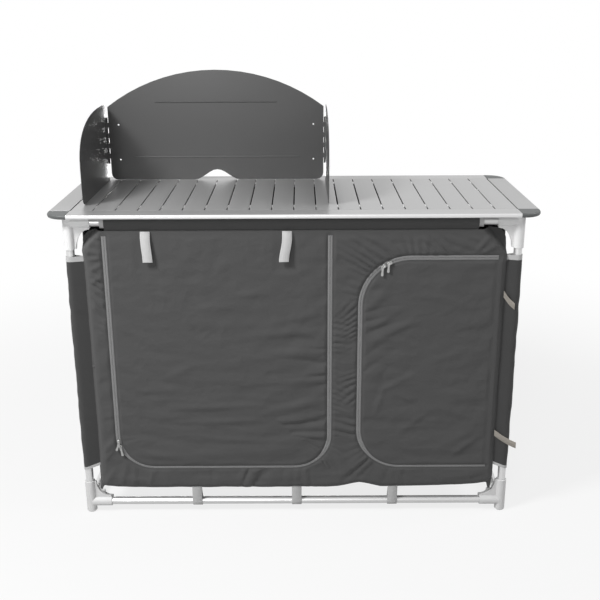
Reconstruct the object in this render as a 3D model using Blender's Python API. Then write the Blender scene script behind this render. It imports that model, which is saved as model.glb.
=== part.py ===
"""Camp kitchen unit: a slatted aluminium top on a tube frame that carries a fabric cabinet.

Metres, +Z up, +X to the user's right, the cabinet's doors face -Y. The origin lies on the ground,
under the middle of the top.
"""

import math

import bmesh
import bpy
from mathutils import Matrix, Vector

# Clearance between neighbours that touch on the real unit
GAP = 0.0003

# How far a cutting solid reaches past what it cuts
CUT_REACH = 0.010

# Slatted top
SLAT_COUNT = 20
SLAT_PITCH = 0.0533
SLAT_SLOT = 0.003
SLAT_THICKNESS = 0.0058
END_SLAT_WIDTH = 0.052
TABLE_DEPTH = 0.484
TABLE_HEIGHT = 0.800
TABLE_THICKNESS = 0.0105
TABLE_RAIL_WIDTH = 0.052
TABLE_RAIL_NOSE = 0.0035
RAIL_LIP = 0.010
CROSS_BAR_WIDTH = 0.024
CROSS_BAR_OFFSET_Y = 0.143
CORNER_RADIUS = 0.045
CAP_EDGE_ROUND = 0.0035
TONGUE_LENGTH = 0.022
TONGUE_WIDTH = 0.024
TONGUE_THICKNESS = 0.004
TONGUE_INSET = 0.012
TONGUE_ROOT = 0.004

# Frame tubes and their push-fit corner fittings
TUBE_DIAMETER = 0.020
TUBE_WALL = 0.0012
TUBE_SIDES = 16
FITTING_DIAMETER = 0.026
SOCKET_DEPTH = 0.034
LEG_INSET_X = 0.0495
LEG_INSET_Y = 0.0316
TOP_ARM_SIDE = 0.0525
TOP_ARM_DOWN = 0.066
FOOT_ARM_SIDE = 0.055
FOOT_ARM_UP = 0.0605
BOTTOM_RAIL_HEIGHT = 0.028
FOOT_CHAMFER = 0.003
WEB_THICKNESS = 0.008
WEB_RIB = 0.016
WEB_PLATE = 0.026
WEB_ARC_POINTS = 5
WEB_INSET = 0.002
RIM_CHAMFER = 0.0008

# Fabric cabinet
CLOTH = 0.0018
PANEL_THICKNESS = 0.003
CABINET_WIDTH = 1.012
TOP_SLEEVE_LENGTH = 0.910
PANEL_TOP_DROP = 0.0185
CORNER_CUT_WIDTH = 0.038
CORNER_CUT_HEIGHT = 0.050
HEM_HEIGHT = 0.072
HEM_END_HEIGHT = 0.080
HEM_SCALLOP_X = 0.165
HEM_SCALLOP_WIDTH = 0.110
HEM_SCALLOP_RISE = 0.013
HEM_TIP_WIDTH = 0.012
HEM_TIP_DROP = 0.018
HEM_CORNER_RUN = 0.090
HEM_RIGHT_RISE = 0.002
SKIRT_OVERLAP = 0.004
FLOOR_HEIGHT = 0.088
DIVIDER_X = 0.1235
SHELF_HEIGHT = 0.410
SHELF_THICKNESS = 0.004
SLEEVE_TOP_DROP = 0.016
SLEEVE_BOTTOM = 0.122
SLEEVE_SLANT = 0.014
FOLD_GRID = 0.022
BACK_GRID = 0.075
FRONT_EASE = 0.015
FOLD_EASE = 0.030

# Webbing: loops round the bottom rail and ties for the rolled-up doors
WEBBING_WIDTH = 0.025
WEBBING_THICKNESS = 0.0018
HEM_STRAP_X = (-0.256, 0.003, 0.252)
STRAP_SEAM = 0.006
TIE_LENGTH = 0.080
TIE_STANDOFF = 0.0030
TIE_SEAM_DROP = 0.001
TIE_BEND_DROP = 0.016
FRONT_TIE_X = (-0.352, -0.016)
FRONT_TIE_LEAN = (0.0, -0.008)
SIDE_TIE_HEIGHTS = (0.592, 0.222)
SIDE_TIE_LENGTHS = (0.034, 0.066)
SIDE_TIE_DROPS = (0.026, 0.036)
SIDE_TIE_WIDTH = 0.021
SIDE_TIE_SEAM = 0.001

# Doors, outlined by their zips
ZIP_GAP = 0.0006
ZIP_STIFF = 0.014
LEFT_DOOR_LEFT = -0.451
LEFT_DOOR_RIGHT = 0.0865
LEFT_DOOR_BOTTOM = 0.132
LEFT_DOOR_TOP_DROP = 0.0127
LEFT_DOOR_RADIUS = 0.090
RIGHT_DOOR_LEFT = 0.1605
RIGHT_DOOR_RIGHT = 0.488
RIGHT_DOOR_BOTTOM = 0.1325
RIGHT_DOOR_TOP_DROP = 0.0687
RIGHT_DOOR_TOP_RADIUS = 0.120
RIGHT_DOOR_BOTTOM_RADIUS = 0.105
DOOR_ARC_POINTS = 8

# Zip sliders and their pulls
SLIDER_LENGTH = 0.011
SLIDER_WIDTH = 0.0085
SLIDER_HEIGHT = 0.0042
SLIDER_WAIST = 0.72
SLIDER_NOSE = 0.6
BRIDGE_WIDTH = 0.0018
BRIDGE_BAR = 0.0012
BRIDGE_REACH = 0.0038
SLIDER_STANDOFF = 0.0006
PULL_LENGTH = 0.022
PULL_WIDTH = 0.0062
PULL_THICKNESS = 0.0016
PULL_EYE_RADIUS = 0.0021
PULL_EYE_RIM = 0.0012
PULL_WAIST = 0.7
PULL_WAIST_PLACE = 0.45
LEFT_SLIDER_ANGLES = (190.0, 199.0)
RIGHT_SLIDER_ANGLES = (123.5, 115.5)
PULL_LEANS = {"left_upper": 20.0, "left_lower": -10.0, "right_lower": 3.0, "right_upper": 3.0}

# Three-panel sheet-metal windscreen
SCREEN_CENTRE_X = -0.2135
SCREEN_BACK_INSET = 0.050
SCREEN_WIDTH = 0.593
SCREEN_SHEET = 0.0012
SCREEN_SIDE_HEIGHT = 0.199
SCREEN_CROWN_HEIGHT = 0.296
SCREEN_CORNER_RADIUS = 0.018
SCREEN_ARC_POINTS = 18
NOTCH_WIDTH = 0.125
NOTCH_HEIGHT = 0.028
NOTCH_POINTS = 12
WING_LENGTH = 0.335
WING_HEIGHT = 0.208
WING_CROWN_RUN = 0.050
WING_CROWN_FALL = 0.118
WING_CROWN_POWER = 2.5
WING_CROWN_POINTS = 12
WING_CORNER_RADIUS = 0.022
WING_SHOULDER_DROP = 0.008
WING_SHOULDER_RUN = 0.030
KNUCKLE_RADIUS = 0.0026
KNUCKLE_COUNT = 9
KNUCKLE_LENGTH = 0.014
KNUCKLE_BOTTOM = 0.045
KNUCKLE_GAP = 0.0005
KNUCKLE_LEAF = 0.006
HINGE_CLEARANCE = 0.0008
PIN_RADIUS = 0.0012
SCREEN_HOLE_RADIUS = 0.0022
SCREEN_HOLE_INSET = 0.031
SCREEN_HOLE_HEIGHTS = (0.056, 0.151)
WING_HOLES = ((0.131, 0.170), (0.133, 0.082), (0.024, 0.139), (0.026, 0.043))

# Sizes that follow from the ones above
TABLE_WIDTH = SLAT_COUNT * SLAT_PITCH + 2 * END_SLAT_WIDTH
TABLE_UNDERSIDE = TABLE_HEIGHT - TABLE_THICKNESS
TUBE_RADIUS = TUBE_DIAMETER / 2
FITTING_RADIUS = FITTING_DIAMETER / 2
LEG_X = TABLE_WIDTH / 2 - LEG_INSET_X
LEG_Y = TABLE_DEPTH / 2 - LEG_INSET_Y
TOP_RAIL_HEIGHT = TABLE_UNDERSIDE - GAP - FITTING_RADIUS
SLEEVE_INNER = TUBE_RADIUS + GAP
SLEEVE_OUTER = SLEEVE_INNER + CLOTH
PANEL_INNER_Y = LEG_Y + SLEEVE_OUTER - CLOTH
PANEL_OUTER_Y = PANEL_INNER_Y + PANEL_THICKNESS
PANEL_TOP = TOP_RAIL_HEIGHT - PANEL_TOP_DROP
LEFT_DOOR_TOP = PANEL_TOP - LEFT_DOOR_TOP_DROP
RIGHT_DOOR_TOP = PANEL_TOP - RIGHT_DOOR_TOP_DROP
CABINET_HALF = CABINET_WIDTH / 2
SCREEN_AXIS_Y = TABLE_DEPTH / 2 - SCREEN_BACK_INSET
SCREEN_LEFT_X = SCREEN_CENTRE_X - SCREEN_WIDTH / 2
SCREEN_RIGHT_X = SCREEN_CENTRE_X + SCREEN_WIDTH / 2
SCREEN_BASE = TABLE_HEIGHT + GAP

# Folds of the front cloth: start x, start z, end x, end z, half width, height
FRONT_FOLDS = (
    (0.100, 0.640, 0.152, 0.612, 0.016, 0.0030),
    (0.096, 0.560, 0.150, 0.548, 0.014, 0.0026),
    (0.098, 0.470, 0.150, 0.482, 0.015, 0.0028),
    (0.096, 0.380, 0.152, 0.366, 0.014, 0.0026),
    (0.098, 0.290, 0.150, 0.302, 0.015, 0.0028),
    (0.104, 0.205, 0.150, 0.190, 0.015, 0.0026),
    (-0.492, 0.560, -0.466, 0.470, 0.014, 0.0024),
    (-0.494, 0.150, -0.440, 0.235, 0.016, 0.0030),
    (-0.400, 0.100, -0.470, 0.180, 0.016, 0.0028),
    (0.498, 0.120, 0.400, 0.100, 0.014, 0.0024),
)
LEFT_DOOR_FOLDS = (
    (-0.400, 0.205, 0.020, 0.180, 0.024, 0.0034),
    (-0.380, 0.262, 0.050, 0.245, 0.026, 0.0026),
    (-0.420, 0.690, -0.300, 0.610, 0.026, 0.0026),
    (-0.020, 0.660, 0.060, 0.560, 0.026, 0.0028),
    (-0.430, 0.420, -0.260, 0.360, 0.030, 0.0024),
    (0.060, 0.420, -0.120, 0.350, 0.030, 0.0024),
    (-0.300, 0.540, -0.040, 0.500, 0.034, 0.0020),
)
RIGHT_DOOR_FOLDS = (
    (0.205, 0.620, 0.330, 0.500, 0.022, 0.0030),
    (0.225, 0.648, 0.400, 0.560, 0.020, 0.0026),
    (0.185, 0.560, 0.250, 0.400, 0.022, 0.0026),
    (0.470, 0.180, 0.300, 0.200, 0.022, 0.0028),
    (0.200, 0.220, 0.300, 0.330, 0.024, 0.0026),
    (0.460, 0.420, 0.350, 0.360, 0.028, 0.0022),
)
BACK_FOLDS = (
    (-0.400, 0.600, -0.150, 0.350, 0.060, 0.0030),
    (0.400, 0.620, 0.150, 0.300, 0.060, 0.0030),
    (-0.300, 0.160, 0.300, 0.180, 0.050, 0.0030),
)
SIDE_FOLDS = (
    (-0.130, 0.640, 0.110, 0.420, 0.050, 0.0026),
    (-0.110, 0.300, 0.130, 0.160, 0.050, 0.0026),
)


# Scene, materials and objects

def clear_scene():
    """Remove every object of the open scene."""
    for item in list(bpy.data.objects):
        bpy.data.objects.remove(item, do_unlink=True)


def make_material(name, color, roughness, metallic):
    """Return a Principled material with one colour."""
    material = bpy.data.materials.new(name)
    material.use_nodes = True
    shader = material.node_tree.nodes["Principled BSDF"]
    shader.inputs["Base Color"].default_value = (*color, 1.0)
    shader.inputs["Roughness"].default_value = roughness
    shader.inputs["Metallic"].default_value = metallic
    material.diffuse_color = (*color, 1.0)
    return material


def make_materials():
    """Return the unit's materials by name."""
    return {
        "slat": make_material("slat_aluminium", (0.50, 0.50, 0.50), 0.42, 0.9),
        "rail": make_material("rail_aluminium", (0.62, 0.62, 0.62), 0.35, 0.9),
        "cap": make_material("cap_plastic", (0.155, 0.162, 0.162), 0.55, 0.0),
        "tube": make_material("tube_aluminium", (0.78, 0.78, 0.78), 0.28, 1.0),
        "fitting": make_material("fitting_plastic", (0.56, 0.56, 0.56), 0.50, 0.0),
        "cloth": make_material("polyester_cloth", (0.080, 0.080, 0.080), 0.90, 0.0),
        "webbing": make_material("grey_webbing", (0.42, 0.42, 0.42), 0.85, 0.0),
        "binding": make_material("beige_webbing", (0.27, 0.25, 0.23), 0.85, 0.0),
        "zip": make_material("zip_metal", (0.36, 0.36, 0.35), 0.40, 0.9),
        "screen": make_material("screen_coating", (0.120, 0.120, 0.120), 0.38, 0.7),
        "pin": make_material("pin_steel", (0.45, 0.45, 0.45), 0.30, 1.0),
    }


def make_object(name, mesh, material, location=(0, 0, 0)):
    """Link a mesh as a named object and give it its material."""
    item = bpy.data.objects.new(name, mesh)
    item.location = location
    mesh.materials.clear()
    mesh.materials.append(material)
    bpy.context.scene.collection.objects.link(item)
    return item


def finish_mesh(name, work):
    """Turn a bmesh into a mesh with outward faces."""
    bmesh.ops.recalc_face_normals(work, faces=work.faces)
    mesh = bpy.data.meshes.new(name)
    work.to_mesh(mesh)
    work.free()
    return mesh


def smooth(item, angle=40):
    """Shade an object smooth, with its real corners kept sharp."""
    item.data.shade_smooth()
    item.data.set_sharp_from_angle(angle=math.radians(angle))
    return item


def combine(item, tool, operation):
    """Join, cut or intersect an object with a tool object, and delete the tool."""
    modifier = item.modifiers.new(operation, "BOOLEAN")
    modifier.operation = operation
    modifier.solver = "EXACT"
    modifier.object = tool
    bpy.context.view_layer.update()
    graph = bpy.context.evaluated_depsgraph_get()
    mesh = bpy.data.meshes.new_from_object(item.evaluated_get(graph))
    item.modifiers.remove(modifier)
    material = item.data.materials[0]
    item.data = mesh
    mesh.materials.clear()
    mesh.materials.append(material)
    bpy.data.objects.remove(tool, do_unlink=True)
    return item


def weld(item, distance=0.00002):
    """Merge points that a cut left almost on top of each other."""
    work = bmesh.new()
    work.from_mesh(item.data)
    bmesh.ops.remove_doubles(work, verts=work.verts, dist=distance)
    bmesh.ops.dissolve_degenerate(work, edges=work.edges, dist=distance)
    work.to_mesh(item.data)
    work.free()
    return item


# Basic solids

def axis_matrix(axis):
    """Return the rotation that takes local Z to a world axis, with local X kept in a row axis."""
    if axis == "X":
        return Matrix(((0, 0, 1), (1, 0, 0), (0, 1, 0))).to_4x4()
    if axis == "Y":
        return Matrix(((1, 0, 0), (0, 0, 1), (0, 1, 0))).to_4x4()
    return Matrix.Identity(4)


def prism(outline, axis, low, high):
    """Extrude a flat outline between two places on an axis.

    The outline's pairs are (y, z) for X, (x, z) for Y and (x, y) for Z.
    """
    work = bmesh.new()
    turn = axis_matrix(axis)
    corners = [work.verts.new(turn @ Vector((u, v, low))) for u, v in outline]
    face = work.faces.new(corners)
    grown = bmesh.ops.extrude_face_region(work, geom=[face])
    moved = [part for part in grown["geom"] if isinstance(part, bmesh.types.BMVert)]
    bmesh.ops.translate(work, verts=moved, vec=turn @ Vector((0, 0, high - low)))
    return work


def box(low, high):
    """Return a box between two corners."""
    outline = ((low[0], low[1]), (high[0], low[1]), (high[0], high[1]), (low[0], high[1]))
    return prism(outline, "Z", low[2], high[2])


def circle(centre, radius, sides):
    """Return the points of a circle."""
    steps = [2 * math.pi * (index + 0.5) / sides for index in range(sides)]
    return [(centre[0] + radius * math.cos(a), centre[1] + radius * math.sin(a)) for a in steps]


def arc(centre, radius, start, end, points):
    """Return points on an arc between two angles in degrees."""
    turns = [math.radians(start + (end - start) * index / points) for index in range(points + 1)]
    return [(centre[0] + radius * math.cos(a), centre[1] + radius * math.sin(a)) for a in turns]


def cylinder(axis, centre, low, high, radius, sides=TUBE_SIDES):
    """Return a round bar along an axis through a centre in the plane across it."""
    return prism(circle(centre, radius, sides), axis, low, high)


def ring_bar(axis, outer, inner, low, high):
    """Return a hollow bar between two outlines that have as many points each."""
    work = bmesh.new()
    turn = axis_matrix(axis)
    rings = []
    for outline, place in ((outer, low), (outer, high), (inner, high), (inner, low)):
        rings.append([work.verts.new(turn @ Vector((u, v, place))) for u, v in outline])
    count = len(outer)
    for here, there in zip(rings, rings[1:] + rings[:1]):
        for index in range(count):
            after = (index + 1) % count
            work.faces.new((here[index], here[after], there[after], there[index]))
    return work


def hollow_tube(name, axis, centre, low, high, material):
    """Return a frame tube along an axis."""
    outer = circle(centre, TUBE_RADIUS, TUBE_SIDES)
    inner = circle(centre, TUBE_RADIUS - TUBE_WALL, TUBE_SIDES)
    mesh = finish_mesh(name, ring_bar(axis, outer, inner, low, high))
    return smooth(make_object(name, mesh, material))


def tool(work):
    """Return a bmesh as a loose object for a Boolean."""
    item = bpy.data.objects.new("tool", finish_mesh("tool", work))
    bpy.context.scene.collection.objects.link(item)
    return item


# Frame

def add_legs(materials):
    """Add the four leg tubes, held in the sockets of the fittings."""
    low = BOTTOM_RAIL_HEIGHT + FOOT_ARM_UP - SOCKET_DEPTH + GAP
    high = TOP_RAIL_HEIGHT - TOP_ARM_DOWN + SOCKET_DEPTH - GAP
    for front, y in (("front", -LEG_Y), ("back", LEG_Y)):
        for side, x in (("left", -LEG_X), ("right", LEG_X)):
            hollow_tube(f"leg_{front}_{side}", "Z", (x, y), low, high, materials["tube"])


def add_rails(materials):
    """Add the four top and four bottom rails of the frame."""
    levels = (("top", TOP_RAIL_HEIGHT, TOP_ARM_SIDE), ("bottom", BOTTOM_RAIL_HEIGHT, FOOT_ARM_SIDE))
    for level, height, arm in levels:
        reach = arm - SOCKET_DEPTH + GAP
        for side, y in (("front", -LEG_Y), ("back", LEG_Y)):
            end = LEG_X - reach
            hollow_tube(f"{level}_rail_{side}", "X", (y, height), -end, end, materials["tube"])
        for side, x in (("left", -LEG_X), ("right", LEG_X)):
            end = LEG_Y - reach
            hollow_tube(f"{level}_rail_{side}", "Y", (x, height), -end, end, materials["tube"])


def web_outline(reach_u, reach_v, lip, sign_u, sign_v):
    """Return the outline of a gusset between two arms, with a hollow free edge."""
    points = [(0.0, 0.0), (reach_u, 0.0)]
    for index in range(WEB_ARC_POINTS + 1):
        turn = math.radians(90 - 90 * index / WEB_ARC_POINTS)
        u = reach_u - (reach_u - lip) * math.cos(turn)
        v = reach_v - (reach_v - lip) * math.sin(turn)
        points.append((u, v))
    points.append((0.0, reach_v))
    return [(u * sign_u, v * sign_v) for u, v in points]


def chamfered_post(low, high, chamfer_low, chamfer_high):
    """Return an upright round post with its two rims chamfered."""
    work = bmesh.new()
    levels = (
        (low, FITTING_RADIUS - chamfer_low),
        (low + chamfer_low, FITTING_RADIUS),
        (high - chamfer_high, FITTING_RADIUS),
        (high, FITTING_RADIUS - chamfer_high),
    )
    rings = []
    for height, radius in levels:
        outline = circle((0, 0), radius, TUBE_SIDES)
        rings.append([work.verts.new((x, y, height)) for x, y in outline])
    for lower, upper in zip(rings, rings[1:]):
        for index in range(TUBE_SIDES):
            after = (index + 1) % TUBE_SIDES
            work.faces.new((lower[index], lower[after], upper[after], upper[index]))
    work.faces.new(rings[0])
    work.faces.new(rings[-1])
    return work


def fitting(name, place, inward, upright, arm_side, arm_up, end, plate, material):
    """Add a three-way fitting: two level arms, an upright arm, gussets and three sockets.

    place is the point where the arms' axes cross, inward the signs of the level arms along X
    and Y, upright the sign of the third arm, and end the reach of the closed end opposite it.
    """
    sign_x, sign_y = inward
    if upright > 0:
        post = chamfered_post(-end, arm_up, FOOT_CHAMFER, RIM_CHAMFER)
    else:
        post = chamfered_post(-arm_up, end, RIM_CHAMFER, RIM_CHAMFER)
    item = make_object(name, finish_mesh(name, post), material, place)
    parts = []
    for axis, sign in (("X", sign_x), ("Y", sign_y)):
        low, high = sorted((0.0, sign * arm_side))
        parts.append(cylinder(axis, (0, 0), low, high, FITTING_RADIUS))
    half = WEB_THICKNESS / 2
    level = arm_side - WEB_INSET
    tall = arm_up - WEB_INSET
    parts.append(prism(web_outline(level, level, plate, sign_x, sign_y), "Z", -half, half))
    parts.append(prism(web_outline(level, tall, WEB_RIB, sign_x, upright), "Y", -half, half))
    parts.append(prism(web_outline(level, tall, WEB_RIB, sign_y, upright), "X", -half, half))
    for part in parts:
        bmesh.ops.translate(part, verts=part.verts, vec=place)
        combine(item, tool(part), "UNION")
    bore = TUBE_RADIUS + GAP
    arms = (("X", sign_x, arm_side), ("Y", sign_y, arm_side), ("Z", upright, arm_up))
    for axis, sign, reach in arms:
        low, high = sorted((sign * (reach - SOCKET_DEPTH), sign * (reach + CUT_REACH)))
        part = cylinder(axis, (0, 0), low, high, bore)
        bmesh.ops.translate(part, verts=part.verts, vec=place)
        combine(item, tool(part), "DIFFERENCE")
    return smooth(weld(item))


def add_fittings(materials):
    """Add the four top fittings and the four foot fittings."""
    for front, sign_y in (("front", -1), ("back", 1)):
        for side, sign_x in (("left", -1), ("right", 1)):
            inward = (-sign_x, -sign_y)
            top = Vector((sign_x * LEG_X, sign_y * LEG_Y, TOP_RAIL_HEIGHT))
            fitting(f"top_fitting_{front}_{side}", top, inward, -1, TOP_ARM_SIDE, TOP_ARM_DOWN,
                    FITTING_RADIUS, WEB_RIB, materials["fitting"])
            foot = Vector((sign_x * LEG_X, sign_y * LEG_Y, BOTTOM_RAIL_HEIGHT))
            fitting(f"foot_fitting_{front}_{side}", foot, inward, 1, FOOT_ARM_SIDE, FOOT_ARM_UP,
                    BOTTOM_RAIL_HEIGHT, WEB_PLATE, materials["fitting"])


# Slatted top

def nose(centre, start, end):
    """Return the rounded corner of a top profile."""
    return arc(centre, TABLE_RAIL_NOSE, start, end, 3)


def rail_profile():
    """Return the (y, z) profile of the front table rail, with a lip under the slats' ends."""
    edge = -TABLE_DEPTH / 2
    inner = edge + TABLE_RAIL_WIDTH
    round_y = edge + TABLE_RAIL_NOSE
    low = TABLE_UNDERSIDE
    high = TABLE_HEIGHT
    lip_top = high - SLAT_THICKNESS - GAP
    profile = nose((round_y, high - TABLE_RAIL_NOSE), 90, 180)
    profile += nose((round_y, low + TABLE_RAIL_NOSE), 180, 270)
    profile += [(inner + RAIL_LIP, low), (inner + RAIL_LIP, lip_top), (inner, lip_top), (inner, high)]
    return profile


def tongue_box(centre, along, start, end, grow):
    """Return the box of a tongue, or of its pocket when it is grown by a clearance."""
    half_width = TONGUE_WIDTH / 2 + grow
    middle = (TABLE_HEIGHT + TABLE_UNDERSIDE) / 2
    half_height = TONGUE_THICKNESS / 2 + grow
    low, high = sorted((start, end))
    if along == "X":
        return box((low, centre - half_width, middle - half_height),
                   (high, centre + half_width, middle + half_height))
    return box((centre - half_width, low, middle - half_height),
               (centre + half_width, high, middle + half_height))


def rail_tongue_y(sign_y):
    """Return the place of the tongues between the caps and a table rail."""
    return sign_y * (TABLE_DEPTH / 2 - TONGUE_INSET - TONGUE_WIDTH / 2)


def end_tongue_x(sign_x):
    """Return the place of the tongues between the caps and an end slat."""
    return sign_x * (TABLE_WIDTH / 2 - TONGUE_INSET - TONGUE_WIDTH / 2)


def add_table_rails(materials):
    """Add the front and back rails of the top, with a pocket in each end for a cap's tongue."""
    end = SLAT_COUNT * SLAT_PITCH / 2
    for side, sign_y in (("front", -1), ("back", 1)):
        profile = [(y * -sign_y, z) for y, z in rail_profile()]
        name = f"table_rail_{side}"
        item = make_object(name, finish_mesh(name, prism(profile, "X", -end, end)), materials["rail"])
        for sign_x in (-1, 1):
            start = sign_x * (end - TONGUE_LENGTH - GAP)
            pocket = tongue_box(rail_tongue_y(sign_y), "X", start, sign_x * (end + CUT_REACH), GAP)
            combine(item, tool(pocket), "DIFFERENCE")
        smooth(item)


def add_slats(materials):
    """Add the row of slats, fixed on the two cross bars that pass under them."""
    half_depth = TABLE_DEPTH / 2 - TABLE_RAIL_WIDTH - GAP
    top = TABLE_HEIGHT
    low = top - SLAT_THICKNESS
    bar_end = TABLE_WIDTH / 2 - TONGUE_INSET
    item = None
    for sign_y in (-1, 1):
        middle = sign_y * CROSS_BAR_OFFSET_Y
        bar = box((-bar_end, middle - CROSS_BAR_WIDTH / 2, TABLE_UNDERSIDE + GAP),
                  (bar_end, middle + CROSS_BAR_WIDTH / 2, low))
        if item is None:
            item = make_object("table_slats", finish_mesh("table_slats", bar), materials["slat"])
        else:
            combine(item, tool(bar), "UNION")
    for index in range(SLAT_COUNT):
        left = (index - SLAT_COUNT / 2) * SLAT_PITCH + SLAT_SLOT / 2
        right = left + SLAT_PITCH - SLAT_SLOT
        slat = box((left, -half_depth, low), (right, half_depth, top))
        combine(item, tool(slat), "UNION")
    return item


def add_end_slats(materials):
    """Add the two end slats: full height between the caps, thin over the cross bars."""
    reach = TABLE_DEPTH / 2 - TABLE_RAIL_WIDTH - GAP
    for side, sign_x in (("left", -1), ("right", 1)):
        name = f"table_end_slat_{side}"
        outer = TABLE_WIDTH / 2
        inner = outer - END_SLAT_WIDTH + SLAT_SLOT / 2
        block = prism(full_end_profile(sign_x), "Y", -reach, reach)
        item = make_object(name, finish_mesh(name, block), materials["slat"])
        for sign_y in (-1, 1):
            middle = sign_y * CROSS_BAR_OFFSET_Y
            half = CROSS_BAR_WIDTH / 2 + GAP
            x_low, x_high = sorted((sign_x * (inner - CUT_REACH), sign_x * (outer - TONGUE_INSET + GAP)))
            groove = box((x_low, middle - half, TABLE_UNDERSIDE - CUT_REACH),
                         (x_high, middle + half, TABLE_HEIGHT - SLAT_THICKNESS + GAP))
            combine(item, tool(groove), "DIFFERENCE")
            start = sign_y * (reach - TONGUE_LENGTH - GAP)
            pocket = tongue_box(end_tongue_x(sign_x), "Y", start, sign_y * (reach + CUT_REACH), GAP)
            combine(item, tool(pocket), "DIFFERENCE")
        smooth(item)


def full_end_profile(sign_x):
    """Return the (x, z) profile of an end slat before the cross bars' grooves are cut."""
    outer = TABLE_WIDTH / 2
    inner = outer - END_SLAT_WIDTH + SLAT_SLOT / 2
    round_x = outer - TABLE_RAIL_NOSE
    profile = [(inner, TABLE_HEIGHT)]
    profile += arc((round_x, TABLE_HEIGHT - TABLE_RAIL_NOSE), TABLE_RAIL_NOSE, 90, 0, 3)
    profile += arc((round_x, TABLE_UNDERSIDE + TABLE_RAIL_NOSE), TABLE_RAIL_NOSE, 0, -90, 3)
    profile += [(inner, TABLE_UNDERSIDE)]
    return [(x * sign_x, z) for x, z in profile]


def cap_outline(sign_x, sign_y):
    """Return the plan of a corner cap with its round outer corner."""
    outer_x = TABLE_WIDTH / 2
    outer_y = TABLE_DEPTH / 2
    inner_x = outer_x - END_SLAT_WIDTH + GAP
    inner_y = outer_y - TABLE_RAIL_WIDTH + GAP
    points = [(inner_x, inner_y), (outer_x, inner_y)]
    points += arc((outer_x - CORNER_RADIUS, outer_y - CORNER_RADIUS), CORNER_RADIUS, 0, 90, 6)
    points += [(inner_x, outer_y)]
    return [(x * sign_x, y * sign_y) for x, y in points]


def add_caps(materials):
    """Add the four corner caps with a tongue into the rail and one into the end slat."""
    for front, sign_y in (("front", -1), ("back", 1)):
        for side, sign_x in (("left", -1), ("right", 1)):
            name = f"table_cap_{front}_{side}"
            block = prism(cap_outline(sign_x, sign_y), "Z", TABLE_UNDERSIDE, TABLE_HEIGHT)
            round_cap_rims(block)
            item = make_object(name, finish_mesh(name, block), materials["cap"])
            inner_x = TABLE_WIDTH / 2 - END_SLAT_WIDTH
            inner_y = TABLE_DEPTH / 2 - TABLE_RAIL_WIDTH
            tip_x = sign_x * (inner_x - TONGUE_LENGTH + GAP)
            tip_y = sign_y * (inner_y - TONGUE_LENGTH + GAP)
            root_x = sign_x * (inner_x + TONGUE_ROOT)
            root_y = sign_y * (inner_y + TONGUE_ROOT)
            tongue = tongue_box(rail_tongue_y(sign_y), "X", tip_x, root_x, 0.0)
            combine(item, tool(tongue), "UNION")
            tongue = tongue_box(end_tongue_x(sign_x), "Y", tip_y, root_y, 0.0)
            combine(item, tool(tongue), "UNION")
            smooth(item, 50)


def round_cap_rims(work):
    """Round the free top and bottom edges of a cap."""
    inner_x = TABLE_WIDTH / 2 - END_SLAT_WIDTH + 2 * GAP
    inner_y = TABLE_DEPTH / 2 - TABLE_RAIL_WIDTH + 2 * GAP
    rims = []
    for edge in work.edges:
        level = abs(edge.verts[0].co.z - edge.verts[1].co.z) < 1e-6
        middle = (edge.verts[0].co + edge.verts[1].co) / 2
        if level and abs(middle.x) > inner_x and abs(middle.y) > inner_y:
            rims.append(edge)
    bmesh.ops.bevel(work, geom=rims, offset=CAP_EDGE_ROUND, segments=2, profile=0.5, affect="EDGES")


# Cloth with its folds

def fold_height(u, v, folds):
    """Return how far the cloth stands out at a point, from the creases that pass near it."""
    rise = 0.0
    for u0, v0, u1, v1, width, height in folds:
        run_u = u1 - u0
        run_v = v1 - v0
        share = ((u - u0) * run_u + (v - v0) * run_v) / (run_u * run_u + run_v * run_v)
        share = min(1.0, max(0.0, share))
        away = math.hypot(u - u0 - share * run_u, v - v0 - share * run_v)
        rise = max(rise, height * math.exp(-(away / width) ** 2))
    return rise


def ease(distance, width):
    """Return 0 at an edge of the cloth and 1 from a width inside it."""
    share = min(1.0, max(0.0, distance / width))
    return share * share * (3 - 2 * share)


def cloth_slab(axis, low, high, inner, outer, spacing, rise):
    """Return a closed sheet with a flat inner face and a folded outer face.

    low and high are the corners across the axis, inner and outer the places of the faces along
    it, and rise gives how far the outer face stands out at a point.
    """
    work = bmesh.new()
    turn = axis_matrix(axis)
    count_u = max(1, round((high[0] - low[0]) / spacing))
    count_v = max(1, round((high[1] - low[1]) / spacing))
    sign = 1 if outer > inner else -1
    front = []
    for row in range(count_v + 1):
        v = low[1] + (high[1] - low[1]) * row / count_v
        line = []
        for column in range(count_u + 1):
            u = low[0] + (high[0] - low[0]) * column / count_u
            line.append(work.verts.new(turn @ Vector((u, v, outer + sign * rise(u, v)))))
        front.append(line)
    for row in range(count_v):
        for column in range(count_u):
            work.faces.new((front[row][column], front[row][column + 1],
                            front[row + 1][column + 1], front[row + 1][column]))
    rim = front[0] + [line[-1] for line in front[1:]]
    rim += front[-1][-2::-1] + [line[0] for line in front[-2:0:-1]]
    back = [work.verts.new(turn @ flat_copy(turn, vert, inner)) for vert in rim]
    for index, vert in enumerate(rim):
        after = (index + 1) % len(rim)
        work.faces.new((vert, rim[after], back[after], back[index]))
    work.faces.new(back)
    return work


def flat_copy(turn, vert, inner):
    """Return a rim point's place on the flat inner face, in the slab's own axes."""
    own = turn.inverted() @ vert.co
    return Vector((own.x, own.y, inner))


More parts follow.
